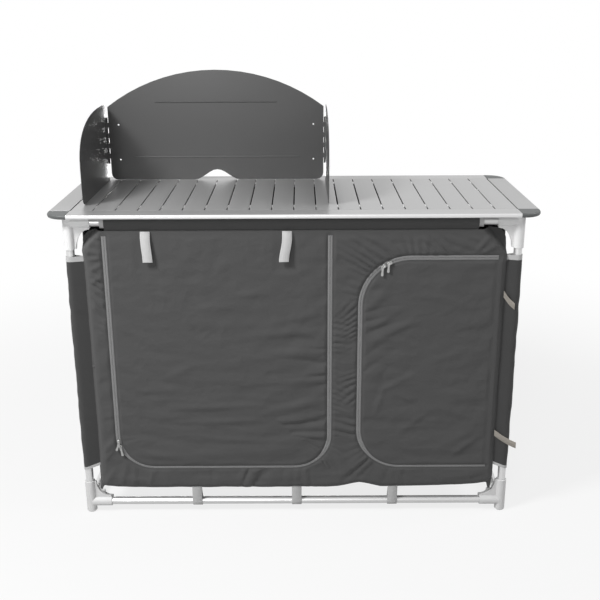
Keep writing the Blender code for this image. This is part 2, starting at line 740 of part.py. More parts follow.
def left_door_outline(grow):
    """Return the (x, z) outline of the left door, grown by a width."""
    left = LEFT_DOOR_LEFT - grow
    right = LEFT_DOOR_RIGHT + grow
    bottom = LEFT_DOOR_BOTTOM - grow
    top = LEFT_DOOR_TOP + grow
    radius = LEFT_DOOR_RADIUS + grow
    points = [(right, top), (left, top)]
    points += arc((left + radius, bottom + radius), radius, 180, 270, DOOR_ARC_POINTS)
    points += arc((right - radius, bottom + radius), radius, 270, 360, DOOR_ARC_POINTS)
    return points


def right_door_outline(grow):
    """Return the (x, z) outline of the right door, grown by a width."""
    left = RIGHT_DOOR_LEFT - grow
    right = RIGHT_DOOR_RIGHT + grow
    bottom = RIGHT_DOOR_BOTTOM - grow
    top = RIGHT_DOOR_TOP + grow
    upper = RIGHT_DOOR_TOP_RADIUS + grow
    lower = RIGHT_DOOR_BOTTOM_RADIUS + grow
    points = [(right, bottom), (right, top)]
    points += arc((left + upper, top - upper), upper, 90, 180, DOOR_ARC_POINTS)
    points += arc((left + lower, bottom + lower), lower, 180, 270, DOOR_ARC_POINTS)
    return points


def outside(x, z, left, right, bottom, top, radius):
    """Return how far a point lies outside a rectangle with round corners, less than 0 inside."""
    across = max(left + radius - x, x - right + radius)
    along = max(bottom + radius - z, z - top + radius)
    beyond = math.hypot(max(across, 0.0), max(along, 0.0))
    return beyond + min(max(across, along), 0.0) - radius


def left_zip_distance(x, z):
    """Return how far a point lies outside the left door's zip."""
    return outside(x, z, LEFT_DOOR_LEFT, LEFT_DOOR_RIGHT, LEFT_DOOR_BOTTOM,
                   LEFT_DOOR_TOP + LEFT_DOOR_RADIUS, LEFT_DOOR_RADIUS)


def right_zip_distance(x, z):
    """Return how far a point lies outside the right door's zip."""
    return outside(x, z, RIGHT_DOOR_LEFT, RIGHT_DOOR_RIGHT + RIGHT_DOOR_TOP_RADIUS,
                   RIGHT_DOOR_BOTTOM, RIGHT_DOOR_TOP, RIGHT_DOOR_TOP_RADIUS)


def left_door_rise(x, z):
    """Return the left door's folds, which die out at its zip and its top seam."""
    inside = min(-left_zip_distance(x, z), LEFT_DOOR_TOP - z) - ZIP_STIFF
    return fold_height(x, z, LEFT_DOOR_FOLDS) * ease(inside, FOLD_EASE)


def right_door_rise(x, z):
    """Return the right door's folds, which die out at its zip and its hinge seam."""
    inside = min(-right_zip_distance(x, z), RIGHT_DOOR_RIGHT - x) - ZIP_STIFF
    return fold_height(x, z, RIGHT_DOOR_FOLDS) * ease(inside, FOLD_EASE)


def front_rise(x, z):
    """Return the front panel's folds, which die out at its seams and at the zips."""
    from_zip = min(left_zip_distance(x, z), right_zip_distance(x, z)) - ZIP_STIFF
    inside = min(CABINET_HALF - abs(x), PANEL_TOP - z, from_zip)
    return fold_height(x, z, FRONT_FOLDS) * ease(inside, FRONT_EASE)


def hem_outline():
    """Return the (x, z) outline of the front and back panels, with cut corners and a wavy hem."""
    half = CABINET_HALF
    top_half = half - CORNER_CUT_WIDTH
    cut_low = PANEL_TOP - CORNER_CUT_HEIGHT
    rise_low = HEM_SCALLOP_X - HEM_SCALLOP_WIDTH / 2
    rise_high = HEM_SCALLOP_X + HEM_SCALLOP_WIDTH / 2
    tip_z = HEM_END_HEIGHT - HEM_TIP_DROP
    return [
        (-top_half, PANEL_TOP),
        (-half, cut_low),
        (-half, tip_z),
        (-half + HEM_TIP_WIDTH, HEM_END_HEIGHT),
        (-half + HEM_CORNER_RUN, HEM_HEIGHT),
        (rise_low, HEM_HEIGHT),
        (HEM_SCALLOP_X, HEM_HEIGHT + HEM_SCALLOP_RISE),
        (rise_high, HEM_HEIGHT),
        (half - HEM_CORNER_RUN, HEM_HEIGHT + HEM_RIGHT_RISE),
        (half - HEM_TIP_WIDTH, HEM_END_HEIGHT),
        (half, tip_z),
        (half, cut_low),
        (top_half, PANEL_TOP),
    ]


def top_sleeve(sign_y):
    """Return the cloth sleeve round a top rail."""
    half = TOP_SLEEVE_LENGTH / 2
    centre = (sign_y * LEG_Y, TOP_RAIL_HEIGHT)
    outer = circle(centre, SLEEVE_OUTER, TUBE_SIDES)
    inner = circle(centre, SLEEVE_INNER, TUBE_SIDES)
    return ring_bar("X", outer, inner, -half, half)


def sleeve_skirt(sign_y):
    """Return the strip of cloth that joins a top sleeve to the panel below it."""
    half = TOP_SLEEVE_LENGTH / 2
    low, high = sorted((sign_y * PANEL_INNER_Y, sign_y * PANEL_OUTER_Y))
    return box((-half, low, PANEL_TOP - SKIRT_OVERLAP), (half, high, TOP_RAIL_HEIGHT))


def teardrop(centre, seam, radius):
    """Return a loop of cloth: round a tube and drawn out to a seam."""
    away = math.atan2(seam[1] - centre[1], seam[0] - centre[0])
    span = math.hypot(seam[0] - centre[0], seam[1] - centre[1])
    spread = math.acos(radius / span)
    start = math.degrees(away + spread)
    end = math.degrees(away - spread) + 360
    return arc(centre, radius, start, end, TUBE_SIDES) + [seam]


def hem_strap(x, sign_y):
    """Return a webbing loop from the hem round a bottom rail."""
    centre = (sign_y * LEG_Y, BOTTOM_RAIL_HEIGHT)
    wall = sign_y * (PANEL_INNER_Y + PANEL_THICKNESS / 2)
    radius = TUBE_RADIUS + GAP
    outer = teardrop(centre, (wall, HEM_HEIGHT + STRAP_SEAM), radius + WEBBING_THICKNESS)
    inner = teardrop(centre, (wall, HEM_HEIGHT - STRAP_SEAM), radius)
    return ring_bar("X", outer, inner, x - WEBBING_WIDTH / 2, x + WEBBING_WIDTH / 2)


def add_front_panel(materials):
    """Add the front panel with its top sleeve, its two doorways and its hem straps."""
    outline = hem_outline()
    low = (-CABINET_HALF, min(z for _, z in outline))
    high = (CABINET_HALF, PANEL_TOP)
    slab = cloth_slab("Y", low, high, -PANEL_INNER_Y, -PANEL_OUTER_Y, FOLD_GRID, front_rise)
    item = make_object("cabinet_front", finish_mesh("cabinet_front", slab), materials["cloth"])
    shape = prism(outline, "Y", -PANEL_OUTER_Y - CUT_REACH, -PANEL_INNER_Y + CUT_REACH)
    combine(item, tool(shape), "INTERSECT")
    for doorway in (left_door_outline(ZIP_GAP), right_door_outline(ZIP_GAP)):
        cutter = prism(doorway, "Y", -PANEL_OUTER_Y - CUT_REACH, -PANEL_INNER_Y + CUT_REACH)
        combine(item, tool(cutter), "DIFFERENCE")
    combine(item, tool(sleeve_skirt(-1)), "UNION")
    combine(item, tool(top_sleeve(-1)), "UNION")
    cut_sleeve_bore(item, -1)
    for x in HEM_STRAP_X:
        combine(item, tool(hem_strap(x, -1)), "UNION")
    return weld(item)


def cut_sleeve_bore(item, sign_y):
    """Clear the bore of a top sleeve so that its rail passes."""
    half = TOP_SLEEVE_LENGTH / 2 + CUT_REACH
    centre = (sign_y * LEG_Y, TOP_RAIL_HEIGHT)
    combine(item, tool(cylinder("X", centre, -half, half, SLEEVE_INNER)), "DIFFERENCE")


def add_back_panel(materials):
    """Add the back panel with its top sleeve and its hem straps."""
    outline = hem_outline()
    low = (-CABINET_HALF, min(z for _, z in outline))
    high = (CABINET_HALF, PANEL_TOP)

    def back_rise(x, z):
        inside = min(CABINET_HALF - abs(x), PANEL_TOP - z, z - HEM_HEIGHT)
        return fold_height(x, z, BACK_FOLDS) * ease(inside, FOLD_EASE)

    slab = cloth_slab("Y", low, high, PANEL_INNER_Y, PANEL_OUTER_Y, BACK_GRID, back_rise)
    item = make_object("cabinet_back", finish_mesh("cabinet_back", slab), materials["cloth"])
    shape = prism(outline, "Y", PANEL_INNER_Y - CUT_REACH, PANEL_OUTER_Y + CUT_REACH)
    combine(item, tool(shape), "INTERSECT")
    combine(item, tool(sleeve_skirt(1)), "UNION")
    combine(item, tool(top_sleeve(1)), "UNION")
    cut_sleeve_bore(item, 1)
    for x in HEM_STRAP_X:
        combine(item, tool(hem_strap(x, 1)), "UNION")
    return weld(item)


def add_side_panels(materials):
    """Add the two side panels between the front and the back panel."""
    reach = PANEL_INNER_Y - GAP
    low = (-reach, HEM_END_HEIGHT)
    high = (reach, PANEL_TOP)

    def side_rise(y, z):
        inside = min(reach - abs(y), PANEL_TOP - z, z - HEM_END_HEIGHT)
        return fold_height(y, z, SIDE_FOLDS) * ease(inside, FOLD_EASE)

    for side, sign_x in (("left", -1), ("right", 1)):
        name = f"cabinet_side_{side}"
        inner = sign_x * (CABINET_HALF - PANEL_THICKNESS)
        slab = cloth_slab("X", low, high, inner, sign_x * CABINET_HALF, BACK_GRID, side_rise)
        item = make_object(name, finish_mesh(name, slab), materials["cloth"])
        for sign_y in (-1, 1):
            corner = prism(corner_relief(sign_y), "X", -CABINET_WIDTH, CABINET_WIDTH)
            combine(item, tool(corner), "DIFFERENCE")


def corner_relief(sign_y):
    """Return the (y, z) corner cut away from a side panel below a top fitting."""
    reach = LEG_Y - FITTING_RADIUS - GAP
    top = TOP_RAIL_HEIGHT
    low = PANEL_TOP - CORNER_CUT_HEIGHT / 2
    points = [(reach, top), (reach, low), (TABLE_DEPTH / 2, low), (TABLE_DEPTH / 2, top)]
    return [(y * sign_y, z) for y, z in points]


def add_leg_sleeves(materials):
    """Add the four cloth sleeves that hold the cabinet's corners on the legs."""
    high = TOP_RAIL_HEIGHT - TOP_ARM_DOWN - SLEEVE_TOP_DROP
    for front, sign_y in (("front", -1), ("back", 1)):
        for side, sign_x in (("left", -1), ("right", 1)):
            name = f"leg_sleeve_{front}_{side}"
            x = sign_x * LEG_X
            y = sign_y * LEG_Y
            seam_x = sign_x * (CABINET_HALF + GAP)
            inner_seam = (seam_x + sign_x * 2 * CLOTH, sign_y * (PANEL_INNER_Y - CLOTH))
            outer_seam = (seam_x, sign_y * PANEL_INNER_Y)
            outer = teardrop((x, y), outer_seam, SLEEVE_OUTER)
            inner = teardrop((x, y), inner_seam, SLEEVE_INNER)
            work = ring_bar("Z", outer, inner, SLEEVE_BOTTOM, high)
            for vert in work.verts:
                if vert.co.z < SLEEVE_BOTTOM + 0.001:
                    inward = (abs(x) + SLEEVE_OUTER - abs(vert.co.x)) / (2 * SLEEVE_OUTER)
                    vert.co.z += SLEEVE_SLANT * inward
            smooth(make_object(name, finish_mesh(name, work), materials["cloth"]))


def inner_box(name, low_x, high_x, low_z, high_z, material):
    """Add a flat piece that fills the cabinet from its front panel to its back panel."""
    reach = PANEL_INNER_Y - GAP
    work = box((low_x, -reach, low_z), (high_x, reach, high_z))
    return make_object(name, finish_mesh(name, work), material)


def add_cabinet_inside(materials):
    """Add the cabinet's floor, its divider and one shelf in each compartment."""
    cloth = materials["cloth"]
    wall = CABINET_HALF - PANEL_THICKNESS - GAP
    floor_top = FLOOR_HEIGHT + PANEL_THICKNESS
    inner_box("cabinet_floor", -wall, wall, FLOOR_HEIGHT, floor_top, cloth)
    left = DIVIDER_X - PANEL_THICKNESS / 2
    right = DIVIDER_X + PANEL_THICKNESS / 2
    inner_box("cabinet_divider", left, right, floor_top + GAP, PANEL_TOP, cloth)
    shelf_top = SHELF_HEIGHT + SHELF_THICKNESS
    inner_box("shelf_left", -wall, left - GAP, SHELF_HEIGHT, shelf_top, cloth)
    inner_box("shelf_right", right + GAP, wall, SHELF_HEIGHT, shelf_top, cloth)


def add_doors(materials):
    """Add the two doors, each with its origin on the seam that it turns about."""
    doors = (
        ("door_left", left_door_outline(0), left_door_rise, (0, -PANEL_OUTER_Y, LEFT_DOOR_TOP)),
        ("door_right", right_door_outline(0), right_door_rise, (RIGHT_DOOR_RIGHT, -PANEL_OUTER_Y, 0)),
    )
    for name, outline, rise, pivot in doors:
        xs = [x for x, _ in outline]
        zs = [z for _, z in outline]
        slab = cloth_slab("Y", (min(xs), min(zs)), (max(xs), max(zs)),
                          -PANEL_INNER_Y, -PANEL_OUTER_Y, FOLD_GRID, rise)
        item = make_object(name, finish_mesh(name, slab), materials["cloth"])
        shape = prism(outline, "Y", -PANEL_OUTER_Y - CUT_REACH, -PANEL_INNER_Y + CUT_REACH)
        combine(item, tool(shape), "INTERSECT")
        weld(item)
        set_origin(item, pivot)


def set_origin(item, place):
    """Move an object's origin without moving its shape."""
    item.data.transform(Matrix.Translation(-Vector(place)))
    item.location = place


# Webbing ties

def add_front_ties(materials):
    """Add the two ties that hang over the left door, each hinged at its top seam."""
    y = -PANEL_OUTER_Y - GAP
    top = PANEL_TOP - TIE_SEAM_DROP
    for index, (x, lean) in enumerate(zip(FRONT_TIE_X, FRONT_TIE_LEAN)):
        bend_z = top - TIE_BEND_DROP
        bend_y = y - TIE_STANDOFF
        end_z = top - TIE_LENGTH
        work = bent_strip(((x, y, top), (x, bend_y, bend_z), (x + lean, bend_y, end_z)))
        name = f"door_tie_{index + 1}"
        item = make_object(name, finish_mesh(name, work), materials["webbing"])
        set_origin(item, (x, y - WEBBING_THICKNESS, top))


def bent_strip(points):
    """Return a strip of webbing that hangs through points, as wide as the webbing along X."""
    work = bmesh.new()
    half = WEBBING_WIDTH / 2
    rings = []
    for x, y, z in points:
        rings.append([
            work.verts.new((x - half, y, z)),
            work.verts.new((x + half, y, z)),
            work.verts.new((x + half, y - WEBBING_THICKNESS, z)),
            work.verts.new((x - half, y - WEBBING_THICKNESS, z)),
        ])
    for upper, lower in zip(rings, rings[1:]):
        for index in range(4):
            after = (index + 1) % 4
            work.faces.new((upper[index], upper[after], lower[after], lower[index]))
    work.faces.new(rings[0])
    work.faces.new(rings[-1])
    return work


def side_tie_outline(x, height, length, drop):
    """Return the (x, z) outline of a side tie: upright where it is sewn, square at its free end."""
    run = Vector((length, -drop)).normalized()
    half = SIDE_TIE_WIDTH / 2
    seam = half / run.x
    end = (x + length, height - drop)
    return [
        (x, height + seam),
        (x, height - seam),
        (end[0] + run.y * half, end[1] - run.x * half),
        (end[0] - run.y * half, end[1] + run.x * half),
    ]


def add_side_ties(materials):
    """Add the two ties at the right corner seam that hold the rolled right door."""
    x = CABINET_HALF - SIDE_TIE_SEAM
    y = -PANEL_OUTER_Y - GAP
    rows = zip(("upper", "lower"), SIDE_TIE_HEIGHTS, SIDE_TIE_LENGTHS, SIDE_TIE_DROPS)
    for label, height, length, drop in rows:
        outline = side_tie_outline(x, height, length, drop)
        work = prism(outline, "Y", y - WEBBING_THICKNESS, y)
        name = f"side_tie_{label}"
        item = make_object(name, finish_mesh(name, work), materials["binding"])
        set_origin(item, (x, y - WEBBING_THICKNESS, height))


# Zip sliders and pulls

def slider_places():
    """Return each slider's name, its place on the zip and the slope of the zip there."""
    left_centre = (LEFT_DOOR_LEFT + LEFT_DOOR_RADIUS, LEFT_DOOR_BOTTOM + LEFT_DOOR_RADIUS)
    right_centre = (RIGHT_DOOR_LEFT + RIGHT_DOOR_TOP_RADIUS, RIGHT_DOOR_TOP - RIGHT_DOOR_TOP_RADIUS)
    curves = (
        (("left_upper", "left_lower"), left_centre, LEFT_DOOR_RADIUS, LEFT_SLIDER_ANGLES),
        (("right_lower", "right_upper"), right_centre, RIGHT_DOOR_TOP_RADIUS, RIGHT_SLIDER_ANGLES),
    )
    rows = []
    for labels, centre, radius, angles in curves:
        for label, angle in zip(labels, angles):
            turn = math.radians(angle)
            place = (centre[0] + radius * math.cos(turn), centre[1] + radius * math.sin(turn))
            rows.append((label, place, angle - 90.0))
    return rows


def slider_body():
    """Return a slider: a waisted shell with a bridge for the pull, seen from the front.

    Its run is along local Z, its flat back faces +Y at local Y 0.
    """
    half_width = SLIDER_WIDTH / 2
    half_length = SLIDER_LENGTH / 2
    waist = half_width * SLIDER_WAIST
    shoulder = half_length * SLIDER_NOSE
    tip = half_width * SLIDER_NOSE
    outline = [
        (-half_width, shoulder), (-tip, half_length), (tip, half_length), (half_width, shoulder),
        (waist, -half_length), (-waist, -half_length),
    ]
    return prism(outline, "Y", -SLIDER_HEIGHT, 0.0)


def bridge_body():
    """Return the slider's bridge: a bar on two legs, with room for the pull's eye under it."""
    half = BRIDGE_WIDTH / 2
    inner = BRIDGE_REACH - BRIDGE_BAR
    base = -SLIDER_HEIGHT + BRIDGE_BAR / 2
    under = -SLIDER_HEIGHT - PULL_THICKNESS - 2 * GAP
    top = under - BRIDGE_BAR
    outline = [
        (base, BRIDGE_REACH), (top, BRIDGE_REACH), (top, -BRIDGE_REACH), (base, -BRIDGE_REACH),
        (base, -inner), (under, -inner), (under, inner), (base, inner),
    ]
    return prism(outline, "X", -half, half)


def pull_body():
    """Return a pull tab that hangs from its eye at the local origin."""
    half = PULL_WIDTH / 2
    waist = half * PULL_WAIST
    middle = -PULL_LENGTH * PULL_WAIST_PLACE
    outline = arc((0, 0), PULL_EYE_RADIUS + PULL_EYE_RIM, 0, 180, 8)
    outline += [(-waist, middle)]
    outline += arc((0, -PULL_LENGTH + half), half, 180, 360, 6)
    outline += [(waist, middle)]
    return prism(outline, "Y", -PULL_THICKNESS, 0.0)


def add_sliders(materials):
    """Add the four zip sliders, each with its pull hanging on the lower leg of the bridge."""
    y = -PANEL_OUTER_Y - SLIDER_STANDOFF
    metal = materials["zip"]
    leg = Vector((0, -SLIDER_HEIGHT - GAP, -BRIDGE_REACH + BRIDGE_BAR / 2))
    for label, (x, z), heading in slider_places():
        name = f"zip_slider_{label}"
        item = make_object(name, finish_mesh(name, slider_body()), metal)
        combine(item, tool(bridge_body()), "UNION")
        tilt = Matrix.Rotation(math.radians(90.0 - heading), 4, "Y")
        item.data.transform(tilt)
        item.location = (x, y, z)
        name = f"zip_pull_{label}"
        pull = make_object(name, finish_mesh(name, pull_body()), metal)
        eye = prism(circle((0, 0), PULL_EYE_RADIUS, 10), "Y", -CUT_REACH, CUT_REACH)
        combine(pull, tool(eye), "DIFFERENCE")
        pull.data.transform(Matrix.Rotation(math.radians(PULL_LEANS[label]), 4, "Y"))
        pull.location = item.location + tilt @ leg


# Windscreen

def screen_outline():
    """Return the (x, z) outline of the back sheet: arched crown, round feet and an ogee notch."""
    half = SCREEN_WIDTH / 2 - KNUCKLE_RADIUS - HINGE_CLEARANCE
    rise = SCREEN_CROWN_HEIGHT - SCREEN_SIDE_HEIGHT
    crown_radius = (half * half + rise * rise) / (2 * rise)
    spread = math.degrees(math.asin(half / crown_radius))
    crown_centre = (0, SCREEN_CROWN_HEIGHT - crown_radius)
    crown = arc(crown_centre, crown_radius, 90 - spread, 90 + spread, SCREEN_ARC_POINTS)
    radius = SCREEN_CORNER_RADIUS
    foot_left = arc((-half + radius, radius), radius, 180, 270, 4)
    foot_right = arc((half - radius, radius), radius, 270, 360, 4)
    notch = []
    for index in range(NOTCH_POINTS + 1):
        share = -1 + 2 * index / NOTCH_POINTS
        height = NOTCH_HEIGHT * (0.5 + 0.5 * math.cos(math.pi * share))
        notch.append((share * NOTCH_WIDTH / 2, height))
    points = crown + foot_left + notch + foot_right
    return [(SCREEN_CENTRE_X + x, SCREEN_BASE + z) for x, z in points]


def wing_outline():
    """Return a wing's outline as (distance from the hinge, height) pairs."""
    start = KNUCKLE_RADIUS + HINGE_CLEARANCE
    reach = WING_LENGTH - WING_CROWN_RUN
    top = []
    for index in range(WING_CROWN_POINTS + 1):
        angle = math.pi / 2 * (1 - index / WING_CROWN_POINTS)
        run = max(0.0, math.cos(angle)) ** (2 / WING_CROWN_POWER)
        fall = 1 - math.sin(angle) ** (2 / WING_CROWN_POWER)
        top.append((WING_CROWN_RUN + reach * run, WING_HEIGHT - WING_CROWN_FALL * fall))
    low = arc((WING_LENGTH - WING_CORNER_RADIUS, WING_CORNER_RADIUS), WING_CORNER_RADIUS, 0, -90, 4)
    shoulder = [(start, WING_HEIGHT - WING_SHOULDER_DROP), (WING_SHOULDER_RUN, WING_HEIGHT)]
    return shoulder + top + low + [(start, 0.0)]


def knuckle_spans(parity):
    """Return the (low, high) heights of the knuckles that one sheet carries."""
    spans = []
    for index in range(parity, KNUCKLE_COUNT, 2):
        low = SCREEN_BASE + KNUCKLE_BOTTOM + index * KNUCKLE_LENGTH
        spans.append((low + KNUCKLE_GAP / 2, low + KNUCKLE_LENGTH - KNUCKLE_GAP / 2))
    return spans


def knuckle_work(axis_point, inward, spans):
    """Return the rolled knuckles of a sheet as a list of bodies.

    axis_point is the hinge axis in plan, and inward the corner of the leaf that joins the roll
    to the sheet, as a pair of opposite plan corners.
    """
    works = []
    for low, high in spans:
        works.append(cylinder("Z", axis_point, low, high, KNUCKLE_RADIUS, 10))
        (x0, y0), (x1, y1) = inward
        works.append(box((min(x0, x1), min(y0, y1), low), (max(x0, x1), max(y0, y1), high)))
    return works


def drill(item, axis, centre, low, high, radius, sides=10):
    """Cut a round hole through an object."""
    combine(item, tool(cylinder(axis, centre, low, high, radius, sides)), "DIFFERENCE")


def add_windscreen(materials):
    """Add the back sheet, its two wings and the two hinge pins."""
    sheet = SCREEN_SHEET
    offset = KNUCKLE_RADIUS - sheet
    low_y = SCREEN_AXIS_Y + offset
    work = prism(screen_outline(), "Y", low_y, low_y + sheet)
    back = make_object("windscreen_back", finish_mesh("windscreen_back", work), materials["screen"])
    pin_low = SCREEN_BASE + KNUCKLE_BOTTOM
    pin_high = pin_low + KNUCKLE_COUNT * KNUCKLE_LENGTH
    for side, sign_x in (("left", -1), ("right", 1)):
        axis_x = SCREEN_LEFT_X if sign_x < 0 else SCREEN_RIGHT_X
        leaf = ((axis_x, low_y), (axis_x - sign_x * KNUCKLE_LEAF, low_y + sheet))
        for part in knuckle_work((axis_x, SCREEN_AXIS_Y), leaf, knuckle_spans(1)):
            combine(back, tool(part), "UNION")
        bore = PIN_RADIUS + GAP
        drill(back, "Z", (axis_x, SCREEN_AXIS_Y), pin_low - CUT_REACH, pin_high + CUT_REACH, bore)
        add_wing(side, sign_x, axis_x, materials["screen"])
        name = f"windscreen_pin_{side}"
        pin = cylinder("Z", (axis_x, SCREEN_AXIS_Y), pin_low, pin_high, PIN_RADIUS, 10)
        smooth(make_object(name, finish_mesh(name, pin), materials["pin"]))
    for side_x in (SCREEN_LEFT_X + SCREEN_HOLE_INSET, SCREEN_RIGHT_X - SCREEN_HOLE_INSET):
        for height in SCREEN_HOLE_HEIGHTS:
            drill(back, "Y", (side_x, SCREEN_BASE + height), low_y - CUT_REACH,
                  low_y + CUT_REACH, SCREEN_HOLE_RADIUS)
    smooth(weld(back))


def add_wing(side, sign_x, axis_x, material):
    """Add one wing, standing forward from its hinge."""
    sheet = SCREEN_SHEET
    outer = axis_x + sign_x * KNUCKLE_RADIUS
    inner = outer - sign_x * sheet
    low_x, high_x = sorted((inner, outer))
    outline = [(SCREEN_AXIS_Y - run, SCREEN_BASE + height) for run, height in wing_outline()]
    name = f"windscreen_wing_{side}"
    item = make_object(name, finish_mesh(name, prism(outline, "X", low_x, high_x)), material)
    leaf = ((low_x, SCREEN_AXIS_Y), (high_x, SCREEN_AXIS_Y - KNUCKLE_LEAF))
    for part in knuckle_work((axis_x, SCREEN_AXIS_Y), leaf, knuckle_spans(0)):
        combine(item, tool(part), "UNION")
    low = SCREEN_BASE + KNUCKLE_BOTTOM
    high = low + KNUCKLE_COUNT * KNUCKLE_LENGTH
    drill(item, "Z", (axis_x, SCREEN_AXIS_Y), low - CUT_REACH, high + CUT_REACH, PIN_RADIUS + GAP)
    for run, height in WING_HOLES:
        drill(item, "X", (SCREEN_AXIS_Y - run, SCREEN_BASE + height), low_x - CUT_REACH,
              high_x + CUT_REACH, SCREEN_HOLE_RADIUS)
    smooth(weld(item))
    set_origin(item, (axis_x, SCREEN_AXIS_Y, SCREEN_BASE))


def main():
    """Build the whole unit."""
    clear_scene()
    materials = make_materials()
    add_legs(materials)
    add_rails(materials)
    add_fittings(materials)
    add_table_rails(materials)
    add_slats(materials)
    add_end_slats(materials)
    add_caps(materials)
    add_front_panel(materials)
    add_back_panel(materials)
    add_side_panels(materials)
    add_leg_sleeves(materials)
    add_cabinet_inside(materials)
    add_doors(materials)
    add_front_ties(materials)
    add_side_ties(materials)
    add_sliders(materials)
    add_windscreen(materials)


main()
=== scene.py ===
"""Dressed camp kitchen unit: slatted top, tube frame, fabric cabinet and sheet-metal windscreen.

Metres, +Z up, the doors face -Y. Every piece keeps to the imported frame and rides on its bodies.
"""

import functools
import logging
import math
from collections.abc import Callable, Sequence
from dataclasses import dataclass, field, replace
from enum import Enum

import bmesh
import bpy
import numpy as np
from mathutils import Matrix, Vector
from mathutils.geometry import delaunay_2d_cdt


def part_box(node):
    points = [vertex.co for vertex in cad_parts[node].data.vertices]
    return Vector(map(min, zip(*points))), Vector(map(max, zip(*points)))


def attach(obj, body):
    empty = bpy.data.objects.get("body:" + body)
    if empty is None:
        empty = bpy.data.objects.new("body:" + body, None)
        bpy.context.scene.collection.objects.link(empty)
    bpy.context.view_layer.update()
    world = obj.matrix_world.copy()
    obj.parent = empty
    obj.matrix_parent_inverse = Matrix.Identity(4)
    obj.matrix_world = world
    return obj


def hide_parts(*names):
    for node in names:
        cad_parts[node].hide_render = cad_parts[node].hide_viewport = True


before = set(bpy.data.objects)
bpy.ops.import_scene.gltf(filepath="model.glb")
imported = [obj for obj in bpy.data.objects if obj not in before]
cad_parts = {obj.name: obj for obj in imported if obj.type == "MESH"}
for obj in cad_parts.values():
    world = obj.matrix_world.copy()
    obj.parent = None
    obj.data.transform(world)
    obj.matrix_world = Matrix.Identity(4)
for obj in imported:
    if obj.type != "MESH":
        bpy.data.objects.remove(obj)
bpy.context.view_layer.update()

LOG = logging.getLogger("camp_kitchen")

Point = tuple[float, float]
Material = bpy.types.Material
Object = bpy.types.Object

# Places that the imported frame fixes
TABLE_TOP = 0.800
LEG_X = 0.5355
LEG_Y = 0.2104
TOP_RAIL_Z = 0.7762
BOTTOM_RAIL_Z = 0.028
TUBE_RADIUS = 0.010
CLOTH_FACE = 0.2237
PANEL_TOP = 0.7577
CABINET_HALF = 0.506
SHEET_THICKNESS = 0.0016
WEBBING_WIDTH = 0.025
WEBBING_THICKNESS = 0.0016

# Kinds of node that come up again and again
MATH = "ShaderNodeMath"
NOISE = "ShaderNodeTexNoise"
BUMP = "ShaderNodeBump"
PLACE = "ShaderNodeTexCoord"
JOIN_XYZ = "ShaderNodeCombineXYZ"


# Node trees

def linear(code: str) -> tuple[float, float, float, float]:
    """Turn an sRGB hex colour into linear light.

    Args:
        code: The colour as "#rrggbb".

    Returns:
        Red, green, blue and alpha, in linear light.
    """
    channels = [int(code[start:start + 2], 16) / 255 for start in (1, 3, 5)]
    light = [c / 12.92 if c <= 0.04045 else ((c + 0.055) / 1.055) ** 2.4 for c in channels]
    return (light[0], light[1], light[2], 1.0)


def feed(tree: bpy.types.NodeTree, node: bpy.types.Node, values: dict) -> None:
    """Give a node its settings and its incoming links.

    Args:
        tree: The tree that holds the node.
        node: The node.
        values: By attribute name, or by an input's name or number: a value, a socket that feeds
            the input, or a node whose first output feeds it.
    """
    for key, value in values.items():
        source = value.outputs[0] if isinstance(value, bpy.types.Node) else value
        if isinstance(source, bpy.types.NodeSocket):
            tree.links.new(source, node.inputs[key])
        elif isinstance(key, str) and hasattr(node, key):
            setattr(node, key, source)
        else:
            node.inputs[key].default_value = source


def add_node(tree: bpy.types.NodeTree, kind: str, values: dict | None = None) -> bpy.types.Node:
    """Add a node with its settings and its incoming links.

    Args:
        tree: The tree that gets the node.
        kind: The node's Blender type.
        values: What feed() takes.

    Returns:
        The new node.
    """
    made = tree.nodes.new(kind)
    feed(tree, made, values or {})
    return made


# Finishes

@dataclass(frozen=True)
class Finish:
    """What a surface is made of, and the numbers that its node tree starts from."""

    name: str
    colour: str
    roughness: float
    metallic: float = 0.0

    def base(self) -> tuple[Material, bpy.types.NodeTree, bpy.types.Node, bpy.types.Node]:
        """Start a material.

        Returns:
            The material, its tree, its Principled node and a Texture Coordinate node.
        """
        material = bpy.data.materials.new(self.name)
        material.use_nodes = True
        material.diffuse_color = linear(self.colour)
        tree = material.node_tree
        shader = tree.nodes["Principled BSDF"]
        feed(tree, shader, {"Base Color": linear(self.colour), "Roughness": self.roughness,
                            "Metallic": self.metallic})
        return material, tree, shader, add_node(tree, PLACE)

    def tint(self, tree: bpy.types.NodeTree, factor: bpy.types.Node,
             spread: float) -> bpy.types.Node:
        """Vary the base colour about its value.

        Args:
            tree: The material's tree.
            factor: The node that gives a pattern from 0 to 1.
            spread: Share by which the colour rises and falls.

        Returns:
            The node that gives the varied colour.
        """
        level = add_node(tree, MATH, {"operation": "MULTIPLY_ADD", 0: factor, 1: 2 * spread,
                                      2: 1.0 - spread})
        return add_node(tree, "ShaderNodeVectorMath",
                        {"operation": "SCALE", 0: linear(self.colour)[:3], "Scale": level})

    def material(self) -> Material:
        """Build the material; each kind of finish has its own tree."""
        raise NotImplementedError


class Grain(Enum):
    """The way along which a metal was drawn or brushed, as the size of a streak in metres."""

    ALONG_X = (0.18, 0.0011, 0.0011)
    ALONG_Y = (0.0011, 0.18, 0.0011)
    ALONG_Z = (0.0011, 0.0011, 0.18)


